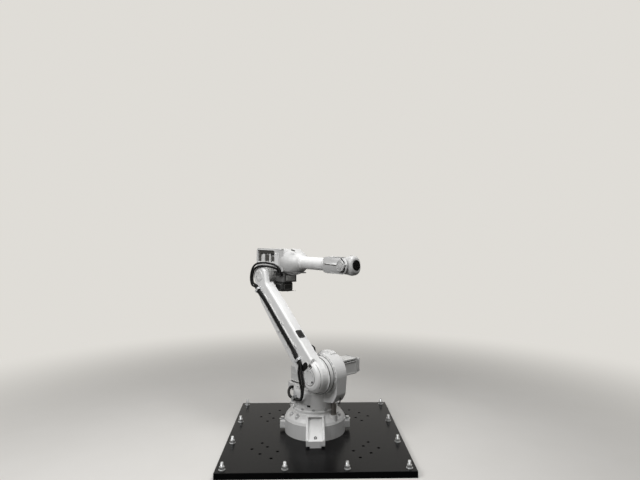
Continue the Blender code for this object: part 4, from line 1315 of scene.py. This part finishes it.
@dataclass
class ArmTrim(Assembly):
    """The lower arm's caps, ledge, clamps, label and pockets."""

    body: Body = Body.ARM
    length: float = ARM_LENGTH
    outer: float = 0.185
    foot_radius: float = 0.1097

    def build(self) -> None:
        """Add every piece of the lower arm."""
        self.shoulder_end()
        self.elbow_end()
        self.ledge()
        self.clamps()
        self.front_face()
        LOG.info("lower arm trimmed")

    def face(self, forward: float = 0, up: float = 0, turn: float = 0) -> Frame:
        """A frame on the arm's outer face."""
        return facing(ARM, (forward, self.outer, up), "right", turn)

    def shoulder_end(self) -> None:
        """The flat disc with its stepped rim and plug, the pocket's painted shade and the foot's joint.
        """
        here = self.face()
        rim = lathe([(0, -0.001, 0), (0.055, -0.001, 0), (0.055, 0.0026, 0.001),
            (0.051, 0.0026, 0.0006), (0.05, 0.0014, 0.0004), (0, 0.0014, 0)], 72, 2)
        self.put("shoulder_disc", rim, WHITE, here)
        self.put("shoulder_disc_gap", hoop(0.0588, 0.054, -0.0005, 0.0006, 0.0002, 72), DARK, here)
        screws = ring_frames(here.child((0, 0, 0.0014)), 0.043, 8, 22.5)
        self.screws("shoulder_disc_screws", 0.0036, 0.002, screws)
        self.put("shoulder_plug", disc(0.008, 0.0034, 0.001, 20), PLASTIC,
            here.child((0.007, -0.043, 0.0008)))
        # Near-black floor and wall inside the pocket: painted shade.
        floor = rounded_box((0.0405, -0.153, 0.0305), (0.0695, -0.1512, 0.0655), 0.002, 0.0004)
        wall = rounded_box((0.0682, -0.184, 0.0305), (0.0698, -0.1515, 0.0655), 0.0005, 0.0004)
        self.put("pocket_painted_shade", merged([floor, wall]), SHADE_AND_SEAM_DARK, ARM)
        turn = np.radians(np.linspace(-75, 18, 40))
        joint = np.column_stack([self.foot_radius * np.cos(turn), np.full(40, -0.1735),
            self.foot_radius * np.sin(turn)])
        self.put("foot_joint", tube(ARM.out(joint), 0.0012, 8), SHADE_AND_SEAM_DARK)
        inner = facing(ARM, (0, 0.1098, 0), "left")
        self.put("shoulder_inner_ring", hoop(0.104, 0.098, -0.0036, -0.0004, 0.001, 64), DARK, inner)

    def elbow_end(self) -> None:
        """The bearing cap and its screws at the elbow, and the gearbox's flange."""
        here = self.face(up=self.length)
        cap = lathe([(0, -0.002, 0), (0.044, -0.002, 0), (0.044, 0.0012, 0.0008), (0.04, 0.003, 0.001),
            (0.018, 0.003, 0), (0.017, 0.0018, 0.0004), (0, 0.0018, 0)], 56, 2)
        self.put("elbow_cap", cap, WHITE, here)
        screws = ring_frames(here.child((0, 0, 0.0026)), 0.031, 6, 30)
        self.screws("elbow_cap_screws", 0.0038, 0.0022, screws)
        gear = facing(ARM, (0, 0.1003, self.length), "right")
        lines = merged([hoop(0.0796, 0.074, 0.006, 0.0095, 0.0008, 64),
            hoop(0.0796, 0.074, 0.018, 0.0205, 0.0008, 64)])
        self.put("elbow_gear_ribs", lines, DARK, gear)

    @staticmethod
    def beside(offset: float, back: float, ahead: float, low: float, high: float) -> np.ndarray:
        """A strip that runs beside the hoses, between two heights.

        Args:
            offset: How far in front of the hoses its line lies.
            back: How far it reaches behind that line.
            ahead: How far it reaches in front of it.
            low: Its lower end.
            high: Its upper end.

        Returns:
            The strip's four corners.
        """
        a, b = hose_line(low) + offset, hose_line(high) + offset
        return np.array([(a - back, low), (a + ahead, low), (b + ahead, high), (b - back, high)])

    def ledge(self) -> None:
        """The rail in front of the channel with its tabs, the rear lip, the wall and the ties."""
        rail = [prism(self.beside(0.0295, 0.0035, 0.0045, low, high), -0.001, 0.0052, 0.0008, 2)
            for low, high in ((0.225, 0.47), (0.478, 0.752))]
        self.put("hose_rail", merged(rail), WHITE, self.face())
        tabs, screws = [], []
        for up in (0.241, 0.45, 0.669):
            place = self.face(hose_line(up) + 0.04, up, -4)
            tabs.append(plate(0.02, 0.034, 0.0034, 0.005, 0.001).placed(place))
            screws.append(place.child((0.001, 0, 0.0033)))
        self.put("rail_tabs", merged(tabs), WHITE)
        self.screws("rail_tab_screws", 0.0042, 0.0036, screws)
        outline = self.beside(-0.029, 0.004, 0.003, 0.225, 0.752)
        lip = [prism(outline, -0.001, 0.004, 0.0008, 2)]
        for up in (0.3, 0.44, 0.57, 0.688):
            place = WORLD.child((hose_line(up) - 0.036, up, 0.0), z=5)
            lip.append(plate(0.016, 0.026, 0.005, 0.005, 0.0012).placed(place))
        self.put("rear_lip", merged(lip), WHITE, self.face())
        wall = prism(outline + (0.0052, 0), -0.01, 0.001, 0.0004, 1)
        self.put("channel_wall", wall, CAST_GREY, self.face())
        loop = arc_corners([(-0.0205, 0.0, 0.001), (0.0205, 0.0, 0.001), (0.0205, 0.0176, 0.0078),
            (-0.0205, 0.0176, 0.0078)], 5)
        strap = band(loop, 0.0013, -0.0022, 0.0022, 0.0003)
        straps = []
        for up in (0.3, 0.395, 0.545, 0.625):
            place = facing(ARM, (hose_line(up), 0.1755, up), "right")
            straps.append(strap.placed(place.child(x=90)))
        self.put("cable_ties", merged(straps), PLASTIC)

    def clamps(self) -> None:
        """Screws and rubber liners of the two hose clamps."""
        screws, liners = [], []
        for up in (0.148, self.length - 0.078):
            for sign in (-1, 1):
                screws.append(self.face(hose_line(up) + sign * 0.0293, up).child((0, 0, 0.004)))
            liners.append(rounded_box((-0.019, -0.0115, 0.0004), (0.019, 0.0115, 0.0015), 0.003,
                0.0004).placed(self.face(hose_line(up), up)))
        self.screws("clamp_screws", 0.0044, 0.0042, screws)
        self.put("clamp_liners", merged(liners), RUBBER)

    def front_face(self) -> None:
        """A blank plate on the arm's front edge and the oval slot over the shoulder's disc."""
        slope = (0.088 - 0.052) / ((0.67 - 0.22) * self.length)
        up = 0.296
        place = facing(ARM, (0.0882 - slope * (up - 0.198), 0.1485, up),
            "front").child(y=-math.degrees(math.atan(slope)))
        self.put("blank_label", plate(0.068, 0.056, 0.0012, 0.01, 0.0004), PLASTIC, place)
        edge = rect(0.026, 0.0205, 0.006)
        self.put("blank_label_edge", band(edge, 0.0016, 0.001, 0.0015, 0.0002), DARK, place)
        slot = self.face(0.007, 0.0775)
        oval = rect(0.046, 0.026, 0.0259, 8)
        self.put("slot_bezel", band(oval, 0.004, -0.001, 0.0024, 0.001), WHITE, slot)
        self.put("slot_dark", prism(oval * 0.9, 0.0001, 0.001, 0.0002, 1), PLASTIC, slot)


@dataclass
class HouseTrim(Assembly):
    """The forearm house: wrist motors in their recess, covers, slots and elbow drive."""

    body: Body = Body.HOUSE
    half: float = 0.095

    def build(self) -> None:
        """Add every piece of the house."""
        self.recess()
        self.covers()
        self.drive()
        LOG.info("house trimmed")

    def recess(self) -> None:
        """Motor ends, painted shade on the recess's top and rear walls, dark plates under the screws,
        screws and plugs, and the recess's ledge and rim.
        """
        # The first two boxes are near-black painted shade on the recess's top and rear walls; the other
        # two are dark plates that carry screws.
        shade_and_plates = [rounded_box((-0.1505, -0.0835, 0.06), (0.0765, -0.08, 0.0845), 0.001, 0.001),
            rounded_box((-0.1505, -0.0835, -0.011), (-0.12, -0.08, 0.0605), 0.001, 0.001),
            rounded_box((-0.06, -0.085, -0.002), (-0.012, -0.0795, 0.053), 0.002, 0.0015),
            rounded_box((0.02, -0.083, 0.002), (0.064, -0.0795, 0.04), 0.002, 0.0015)]
        self.put("recess_shade_and_plates", merged(shade_and_plates), SHADE_AND_SEAM_DARK, FOREARM)
        bell = arc_corners([(-0.0245, -0.033, 0.004), (0.0245, -0.033, 0.004), (0.0245, 0.033, 0.006),
            (-0.0245, 0.033, 0.03)], 8)
        self.put("axis4_motor_end", prism(bell, -0.0005, 0.006, 0.002, 2), MOTOR,
            facing(FOREARM, (-0.093, 0.08, 0.0225), "right"))
        spine = rounded_box((-0.0085, -0.086, -0.01), (0.012, -0.0795, 0.056), 0.003, 0.0015)
        self.put("axis5_motor_flange", spine, MOTOR, FOREARM)
        screws = [facing(FOREARM, (x, 0.0849, z), "right") for x in (-0.055, -0.017)
            for z in (0.004, 0.047)]
        screws += [facing(FOREARM, (x, 0.0829, z), "right") for x in (0.0245, 0.0595)
            for z in (0.007, 0.035)]
        self.screws("recess_screws", 0.0028, 0.0026, screws)
        for name, x, top in (("axis4", -0.109, 0.05), ("axis5", -0.028, 0.058),
                ("axis6", 0.044, 0.044)):
            self.put(name + "_motor_plug", connector(0.0085, 0.017), PLASTIC,
                FOREARM.child((x, -0.05, top)))
        shelf = rounded_box((-0.15, -0.093, -0.0115), (0.076, -0.0815, -0.0065), 0.002, 0.0012)
        self.put("recess_ledge", shelf, WHITE, FOREARM)
        rim = rectangle((-0.156, -0.016), (0.082, 0.09), 0.008)
        self.put("recess_rim", band(rim, 0.0045, -0.001, 0.0022, 0.001), WHITE,
            facing(FOREARM, (0, self.half, 0), "right"))

    def covers(self) -> None:
        """Screws of the side cover, the plates behind and on the left, the two slots painted dark as
        their shade, and a dark plate of painted shade under the dome.
        """
        cover = facing(FOREARM, (0.11, self.half + 0.0043, 0.013), "right")
        self.screws("side_cover_screws", 0.0034, 0.003, corner_frames(cover, 0.036, 0.094))
        rear = facing(FOREARM, (-0.172, 0.0, 0.026), "rear")
        self.put("rear_cover", plate(0.118, 0.15, 0.0024, 0.012, 0.001), WHITE, rear)
        self.screws("rear_cover_screws", 0.0042, 0.0036, corner_frames(rear.child((0, 0, 0.0022)), 0.1,
            0.132))
        corner = facing(FOREARM, (0.166, 0.0912, 0.0962), "right").child(x=-45)
        lug = rect(0.03, 0.006, 0.0058, 6)
        # A flat near-black patch for the top slot: painted shade.
        self.put("top_slot", prism(lug, -0.0005, 0.0012, 0.0004, 1), SHADE_AND_SEAM_DARK, corner)
        normal = np.array((0.339, -0.715, 0.611))
        normal = normal / np.linalg.norm(normal)
        along = np.array((0.0376, 0.0138, -0.0119))
        along = along - normal * (along @ normal)
        along = along / np.linalg.norm(along)
        slope = Frame(FOREARM.out((0.2737, -0.0664, 0.093)),
            np.array((along, np.cross(normal, along), normal)) @ FOREARM.axes)
        # A flat near-black patch for the dome's slot: painted shade.
        self.put("dome_slot", prism(lug * (0.62, 0.8), -0.003, 0.002, 0.0004, 1), SHADE_AND_SEAM_DARK, slope)
        self.put("top_slot_rim", band(lug * 1.12, 0.0026, -0.001, 0.003, 0.0008), WHITE, corner)
        # A dark plate under the dome: painted shade.
        lip = rounded_box((0.15, -0.076, -0.079), (0.338, 0.02, -0.0725), 0.012, 0.0015)
        self.put("dome_underside_shade", lip, DARK, FOREARM)
        nose = FOREARM.child((0.3202, 0, 0), y=90)
        add("tube_collar", hoop(0.0535, 0.047, 0.0004, 0.011, 0.0025, 56), WHITE, Body.FOREARM, nose)
        left = facing(FOREARM, (0.01, -self.half, 0.026), "left")
        self.put("left_cover", plate(0.25, 0.096, 0.0026, 0.014, 0.001), WHITE, left)
        spots = corner_frames(left.child((0, 0, 0.0024)), 0.23, 0.078)
        spots += [left.child((0, y, 0.0024)) for y in (-0.039, 0.039)]
        self.screws("left_cover_screws", 0.0042, 0.0036, spots)

    def drive(self) -> None:
        """Ribs, rims, screws and end caps of the elbow drive and its motor."""
        face = facing(FOREARM, (0, 0.1, -0.115), "right")
        self.put("drive_split", hoop(0.08, 0.0745, -0.0085, -0.0045, 0.001, 64), DARK, face)
        left = facing(FOREARM, (0, -0.06, -0.115), "left")
        cap = lathe([(0, -0.001, 0), (0.07, -0.001, 0), (0.07, 0.004, 0.002), (0.052, 0.007, 0.002),
            (0.02, 0.007, 0.001), (0.018, 0.0052, 0.0006), (0, 0.0052, 0)], 56, 2)
        self.put("drive_cap", cap, DARK, left)
        self.screws("drive_cap_screws", 0.0042, 0.004, ring_frames(left.child((0, 0, 0.004)), 0.0615,
            10))
        down = FOREARM.child((0.11, 0.0215, -0.1583), x=180)
        seal = band(rect(0.048, 0.051, 0.014), 0.006, -0.002, 0.0022, 0.0005)
        self.put("axis3_cap_seal", seal, RUBBER, down)
        end = down.child((0, 0, 0.0738))
        self.put("axis3_end_plate", plate(0.064, 0.072, 0.0024, 0.008, 0.001), BLACK_CAST, end)
        self.screws("axis3_end_screws", 0.0038, 0.0034, corner_frames(end, 0.076, 0.08))
        side = facing(FOREARM, (0.11, 0.075, -0.196), "right")
        frame = rect(0.036, 0.023, 0.01)
        self.put("axis3_side_rim", band(frame, 0.005, -0.001, 0.0036, 0.001), DARK, side)
        front = facing(FOREARM, (0.16, 0.0215, -0.196), "front")
        face = rect(0.022, 0.038, 0.01)
        self.put("axis3_front_rim", band(face, 0.005, -0.001, 0.0036, 0.001), DARK, front)
        block = facing(FOREARM, (0.185, 0.0175, -0.126), "front")
        self.put("axis3_front_plate", plate(0.04, 0.084, 0.0022, 0.006, 0.0008), CAST_GREY, block)
        self.screws("axis3_front_screws", 0.0036, 0.003, corner_frames(block.child((0, 0, 0.002)), 0.03,
            0.074))


@dataclass
class WristTrim(Assembly):
    """The forearm tube's collars, the wrist's covers, and the hand and flange."""

    body: Body = Body.FOREARM
    reach: float = WRIST_REACH
    fork_radius: float = 0.056
    heights: tuple[float, ...] = (-0.056, -0.036, -0.012, 0.0072, 0.0095, 0.0128, 0.02, 0.04, 0.056)
    shares: tuple[float, ...] = (0.8, 0.9, 0.96, 0.962, 1.0, 1.0, 0.95, 0.91, 0.83)

    def build(self) -> None:
        """Add every piece of the wrist."""
        self.tube_trim()
        self.covers()
        self.hand()
        LOG.info("wrist trimmed")

    def tube_trim(self) -> None:
        """A collar and a seal where the tube enters the wrist, and a split line at its middle."""
        along = FOREARM.child((0, 0, 0), y=90)
        collar = merged([hoop(0.0505, 0.0462, 0.579, 0.5915, 0.0016, 56),
            hoop(0.0474, 0.0455, 0.369, 0.372, 0.0006, 56)])
        self.put("tube_collars", collar, WHITE, along)
        self.put("tube_seal", hoop(0.0488, 0.0462, 0.5752, 0.5792, 0.0008, 56), RUBBER, along)

    def side_line(self, height: np.ndarray | float, width: float) -> np.ndarray:
        """How far the side stands out: most just above the middle, less above and below."""
        return width * np.interp(height, self.heights, self.shares)

    def housing(self) -> Shape:
        """The housing from the tube to the fork.

        At each place x the section runs up the left side, over the top, down the right side and
        back under, its sides at side_line(z, w) with the half width w from 50 mm to 70 mm.

        Returns:
            The closed skin.
        """
        rings = []
        heights = np.array(self.heights)
        for x, width, tall in ((0.5922, 0.05, 0.9), (0.614, 0.057, 1), (0.655, 0.061, 1),
                (0.694, 0.066, 1)):
            sides = self.side_line(heights, width)
            left = np.column_stack([np.full(len(sides), x), sides, heights * tall])
            rings.append(np.vstack([left, left[::-1] * (1, -1, 1)]))
        return loft(np.array(rings))

    def cheek(self, sign: float) -> Shape:
        """One arm of the fork, built of level slices.

        The slice at height z reaches from inside the housing to the circle of 56 mm about the
        tilting axis, x = 795 + sqrt(56^2 - z^2), and out to side_line(z, 70 mm), its outer end
        rounded.

        Args:
            sign: 1 on the left and -1 on the right.

        Returns:
            The closed skin.
        """
        half = self.fork_radius
        heights = half * np.sin(np.radians(np.linspace(-90, 90, 25)))
        heights = np.sort(np.concatenate([heights, self.heights[3:6]]))
        rings = []
        for z in heights:
            end = self.reach + math.sqrt(max(half ** 2 - z ** 2, 0))
            out = max(float(self.side_line(z, 0.07)), 0.0585)
            soft = min(0.008, out - 0.056)
            corners = [(0.684, 0.0557), (end, 0.0557), (end, out - soft),
                (end - soft * 0.3, out - soft * 0.3), (end - soft, out), (0.684, out - 0.004)]
            ring = np.array([(x, sign * y, z) for x, y in corners])
            rings.append(ring if sign > 0 else ring[::-1])
        return loft(np.array(rings))

    @staticmethod
    def strip(sign: int, places: Sequence[Point], share: float, section: Sequence[Point]) -> Shape:
        """A strip along one side of the housing.

        Args:
            sign: 1 on the left and -1 on the right.
            places: (x, half width) of the housing at each station.
            share: Which part of the half width the strip's zero lies at.
            section: Its four corners, (out from there, height).

        Returns:
            The closed strip.
        """
        return loft(np.array([[(x, sign * (share * width + side), z) for side, z in section][::sign]
            for x, width in places]))

    def covers(self) -> None:
        """The housing's skin and seams, the droplet covers' seats and rings, and the lids; seats and
        ledges keep the lighter white paint as painted highlights.
        """
        skin = merged([self.housing(), self.cheek(1), self.cheek(-1)])
        # The skin uses the darker copy of the white paint as painted shade.
        piece = self.put("wrist_skin", skin, WRIST_SHADED_WHITE, FOREARM)
        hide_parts("wrist_housing")
        ends = [(0.694, 0.066), (0.725, 0.0695), (0.7535, 0.07)]
        seams = [self.strip(sign, [(0.622, 0.0578), (0.655, 0.061), *ends], 0.962,
            ((-0.002, 0.007), (-0.002, 0.0015), (0.0006, 0.0015), (0.0006, 0.007))) for sign in (1, -1)]
        ledges = [self.strip(sign, [(0.64, 0.0595), *ends], 1.0,
            ((-0.004, 0.016), (-0.004, 0.0078), (0.001, 0.0078), (0.0004, 0.0116))) for sign in (1, -1)]
        angle = np.radians(np.linspace(-225, 45, 37))
        drop = np.vstack([0.043 * np.stack([np.cos(angle), np.sin(angle)], -1), (0, 0.0545)])
        gaps, seats = [], []
        for sign, way in ((1, "right"), (-1, "left")):
            seat = facing(FOREARM, (self.reach, sign * 0.06, 0), way)
            seats.append(prism(drop * 0.87, 0, 0.0102, 0.0004, 1).placed(seat))
            gaps.append(prism(drop, 0.002, 0.0092, 0.001, 1).placed(seat))
        # The seats keep the lighter white paint beside the wrist's darker copy: painted highlight round
        # the covers.
        self.put("cover_lit_seats", merged(seats), WHITE)
        tails = [rounded_box((0.836, y - 0.002, 0.002), (0.844, y + 0.002, 0.0068), 0.0005, 0.0004)
            for y in (-0.0658, 0.0658)]
        self.put("wrist_seams", merged([*seams, *tails]), SHADE_AND_SEAM_DARK, FOREARM)
        self.put("cover_gaps", merged(gaps), RUBBER)
        # The ledges above the seams keep the lighter white paint: painted highlight along them.
        self.put("wrist_lit_ledges", merged(ledges), WHITE, FOREARM)
        for name, sign in (("right", 1), ("left", -1)):
            here = facing(FOREARM, (self.reach, sign * 0.0773, 0), name)
            ring = merged([hoop(0.035, 0.0318, -0.0008, 0.0012, 0.0004, 48),
                disc(0.02, 0.0018, 0.0006, 40)])
            # The cover rings use the darker copy of the white paint as painted shade.
            self.put(f"cover_ring_{name}", ring, WRIST_SHADED_WHITE, here)
            self.screws(f"cover_screws_{name}", 0.0032, 0.0024, ring_frames(here, 0.0268, 6, 30))
        top = FOREARM.child((0.651, 0, 0.056))
        under = FOREARM.child((0.651, 0, -0.056), x=180)
        lid = plate(0.062, 0.07, 0.002, 0.008, 0.0008)
        # The lids use the darker copy of the white paint as painted shade.
        self.put("wrist_lids", lid.copies((top, under)), WRIST_SHADED_WHITE)
        spots = [spot for side in (top, under) for spot in corner_frames(side.child((0, 0, 0.0018)),
            0.05, 0.056)]
        self.screws("wrist_lid_screws", 0.0032, 0.0026, spots)

    def hand(self) -> None:
        """The smooth hand, the flange's ring of threaded holes and the hand's plugs.

        Each section at x is the superellipse (w |cos a|^(2/n), h |sin a|^(2/n)), with h following
        the hub's circle behind the axis and a rounded front, and n falling from 3.6 to 2.5.
        """
        back = -0.0578 * np.cos(np.radians(np.linspace(4, 90, 10)))
        front = 0.05 + 0.03 * np.sin(np.radians(np.linspace(0, 90, 9)))
        places = np.concatenate([back, np.linspace(0.006, 0.044, 6), front])
        turn = np.linspace(0, math.tau, 64, endpoint=False)
        rings = []
        for x in places:
            swell = float(np.clip(x / 0.034, 0, 1))
            swell = swell * swell * (3 - 2 * swell)
            nose = 1 - math.cos(math.asin(float(np.clip((x - 0.05) / 0.03, 0, 1))))
            height = math.sqrt(max(0.058 ** 2 - min(x, 0) ** 2, 0)) + 0.009 * swell - 0.026 * nose
            width = 0.05 + 0.001 * swell - 0.014 * nose
            power = 2 / (3.6 - 1.1 * swell)
            y = width * np.sign(np.cos(turn)) * np.abs(np.cos(turn)) ** power
            z = height * np.sign(np.sin(turn)) * np.abs(np.sin(turn)) ** power
            rings.append(np.column_stack([np.full(len(turn), x), y, z]))
        pivot = lathe([(0, -0.0552, 0), (0.03, -0.0552, 0.001), (0.03, 0.0552, 0.001), (0, 0.0552, 0)],
            48, 2).placed(WORLD.child(x=90))
        # The hand uses the darker copy of the white paint as painted shade.
        piece = add("hand_skin", merged([loft(np.array(rings)), pivot]), WRIST_SHADED_WHITE, Body.HAND, WRIST)
        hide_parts("wrist_hand")
        face = facing(WRIST, (0.085, 0, 0), "front")
        holes = ring_frames(face, 0.02, 8, 22.5)
        add("flange_holes", hoop(0.0036, 0.0024, -0.0002, 0.0003, 0.0001, 16).copies(holes), PLASTIC,
            Body.FLANGE)
        add("flange_centre", hoop(0.0128, 0.0115, -0.0002, 0.0004, 0.0002, 40), PLASTIC, Body.FLANGE,
            face)
        add("flange_rim", hoop(0.0318, 0.03, -0.0048, -0.0002, 0.0004, 48), PLASTIC, Body.FLANGE, face)
        seat = facing(WRIST, (0.08, 0, 0), "front")
        add("hand_seal", hoop(0.0365, 0.0322, -0.0006, 0.0016, 0.0006, 48), RUBBER, Body.HAND, seat)
        for way, sign in (("up", 1), ("down", -1)):
            place = facing(WRIST, (0.036, 0, sign * 0.0672), way)
            add("hand_plug_" + way, disc(0.0085, 0.0012, 0.0005, 28), PLASTIC, Body.HAND, place)


@dataclass
class Hoses:
    """The two hoses from the turret, along the lower arm and over the elbow."""

    sunk: float = 0.1833
    proud: float = 0.1943
    length: float = ARM_LENGTH
    bracket_side: float = 0.1775

    def arm_knots(self, shift: float) -> list[Point]:
        """One hose's route along the lower arm, in its frame.

        Args:
            shift: How far in front of the bundle's middle the hose lies.

        Returns:
            The knots, from the lower clamp up.
        """
        stations = ((0.135, self.proud), (0.182, self.proud), (0.25, self.sunk),
            (self.length / 2, self.sunk), (self.length - 0.19, self.sunk),
            (self.length - 0.116, self.proud), (self.length - 0.065, self.proud))
        return [(hose_line(height) + shift, -side, height) for height, side in stations]

    def elbow_knots(self, shift: float) -> list[Point]:
        """The loop from the upper clamp to the elbow motor's plug, in the arm's frame.

        Args:
            shift: How far in front of the bundle's middle the hose lies.

        Returns:
            The knots, from the upper clamp on.
        """
        out = 1.15 * shift
        start = [(hose_line(up) + shift, self.proud, up - self.length)
            for up in (self.length - 0.0647, self.length - 0.04)]
        loop = [(-0.098 + out, 0.196, 0.005), (-0.068 + out * 0.8, 0.197, 0.052 - out * 0.8),
            (0.0, 0.197, 0.082 - out), (0.072 - out * 0.5, 0.194, 0.055 - out),
            (0.122 - out, 0.152, 0.008 - out * 0.6), (0.15 - out, 0.122, -0.04 - out * 0.2)]
        turn = math.radians(ELBOW_TURN)
        forward = 0.152 - out
        end = [(forward * math.cos(turn) + up * math.sin(turn), 0.106,
            -forward * math.sin(turn) + up * math.cos(turn)) for up in (0.0493, 0.0293)]
        return [(x, -side, self.length + z) for x, side, z in start + loop + end]

    def shoulder_knots(self, shift: float) -> list[Point]:
        """The loop from the lower clamp down to the bracket, in the turret's frame.

        Args:
            shift: How far in front of the bundle's middle the hose lies.

        Returns:
            The knots, from the lower clamp down.
        """
        lean = math.radians(ARM_LEAN)
        knots = []
        for up in (0.1347, 0.115):
            x = hose_line(up) + shift
            knots.append((SHOULDER_FORWARD + x * math.cos(lean) + up * math.sin(lean), self.proud,
                SHOULDER_UP - x * math.sin(lean) + up * math.cos(lean)))
        side = self.bracket_side + shift
        knots += [(0.07 + shift * 1.7, 0.199, 0.462), (0.086 + shift * 1.5, 0.2, 0.397),
            (0.094 + shift * 1.4, 0.199 + shift * 0.6, 0.338),
            (0.074 + shift * 1.4, 0.192 + shift * 1.2, 0.284), (0.03, side + 0.004, 0.262),
            (0.004, side, 0.258), (-0.0167, side, 0.258)]
        return [(x, -y, z) for x, y, z in knots]

    def build(self) -> None:
        """Make the three stretches of both hoses and the turret's own hose."""
        for name, shift in (("front", HOSE_PITCH / 2), ("rear", -HOSE_PITCH / 2)):
            route = polyline(self.arm_knots(shift), 24)
            piece = add("arm_hose_wrap_" + name, tube(ARM.out(route), HOSE_RADIUS), HOSE, Body.ARM)
            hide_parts("arm_hose_" + name)
            self.loop("elbow_hose_" + name, ARM, self.elbow_knots(shift), Body.ARM, Body.HOUSE)
            self.loop("shoulder_hose_" + name, TURRET, self.shoulder_knots(shift)[::-1], Body.TURRET,
                Body.ARM)
        tail = [(-0.0233, -0.177, 0.258), (-0.0433, -0.177, 0.258), (-0.085, -0.17, 0.262),
            (-0.136, -0.138, 0.276), (-0.165, -0.1, 0.289), (-0.165, -0.0753, 0.289)]
        piece = add("turret_hose_wrap", tube(TURRET.out(smooth_route(tail)), 0.01), HOSE, Body.TURRET)
        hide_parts("turret_hose")
        LOG.info("hoses laid")

    def loop(self, name: str, frame: Frame, knots: Sequence[Point], first: Body, last: Body) -> None:
        """One loop over a joint, set out in world metres and left on no body.

        Args:
            name: The node that it replaces.
            frame: Where its knots are set out.
            knots: The points that it passes.
            first: The body meant to hold its first end; not used.
            last: The body meant to hold its last end; not used.
        """
        route = frame.out(smooth_route(knots))
        piece = add(name + "_wrap", tube(route, HOSE_RADIUS), HOSE, None)
        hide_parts(name)
        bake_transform(piece)


def main() -> None:
    """Load the frame, dress it and add every piece."""
    logging.basicConfig(level=logging.INFO, format="%(name)s: %(message)s")
    bpy.context.scene.view_settings.view_transform = "Standard"
    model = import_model()
    Studio().build()
    dress_nodes(model)
    for assembly in (FloorAnchors(), BaseTrim(), TurretTrim(), ArmTrim(), HouseTrim(), WristTrim(),
            Hoses()):
        assembly.build()


if __name__ == "__main__":
    main()
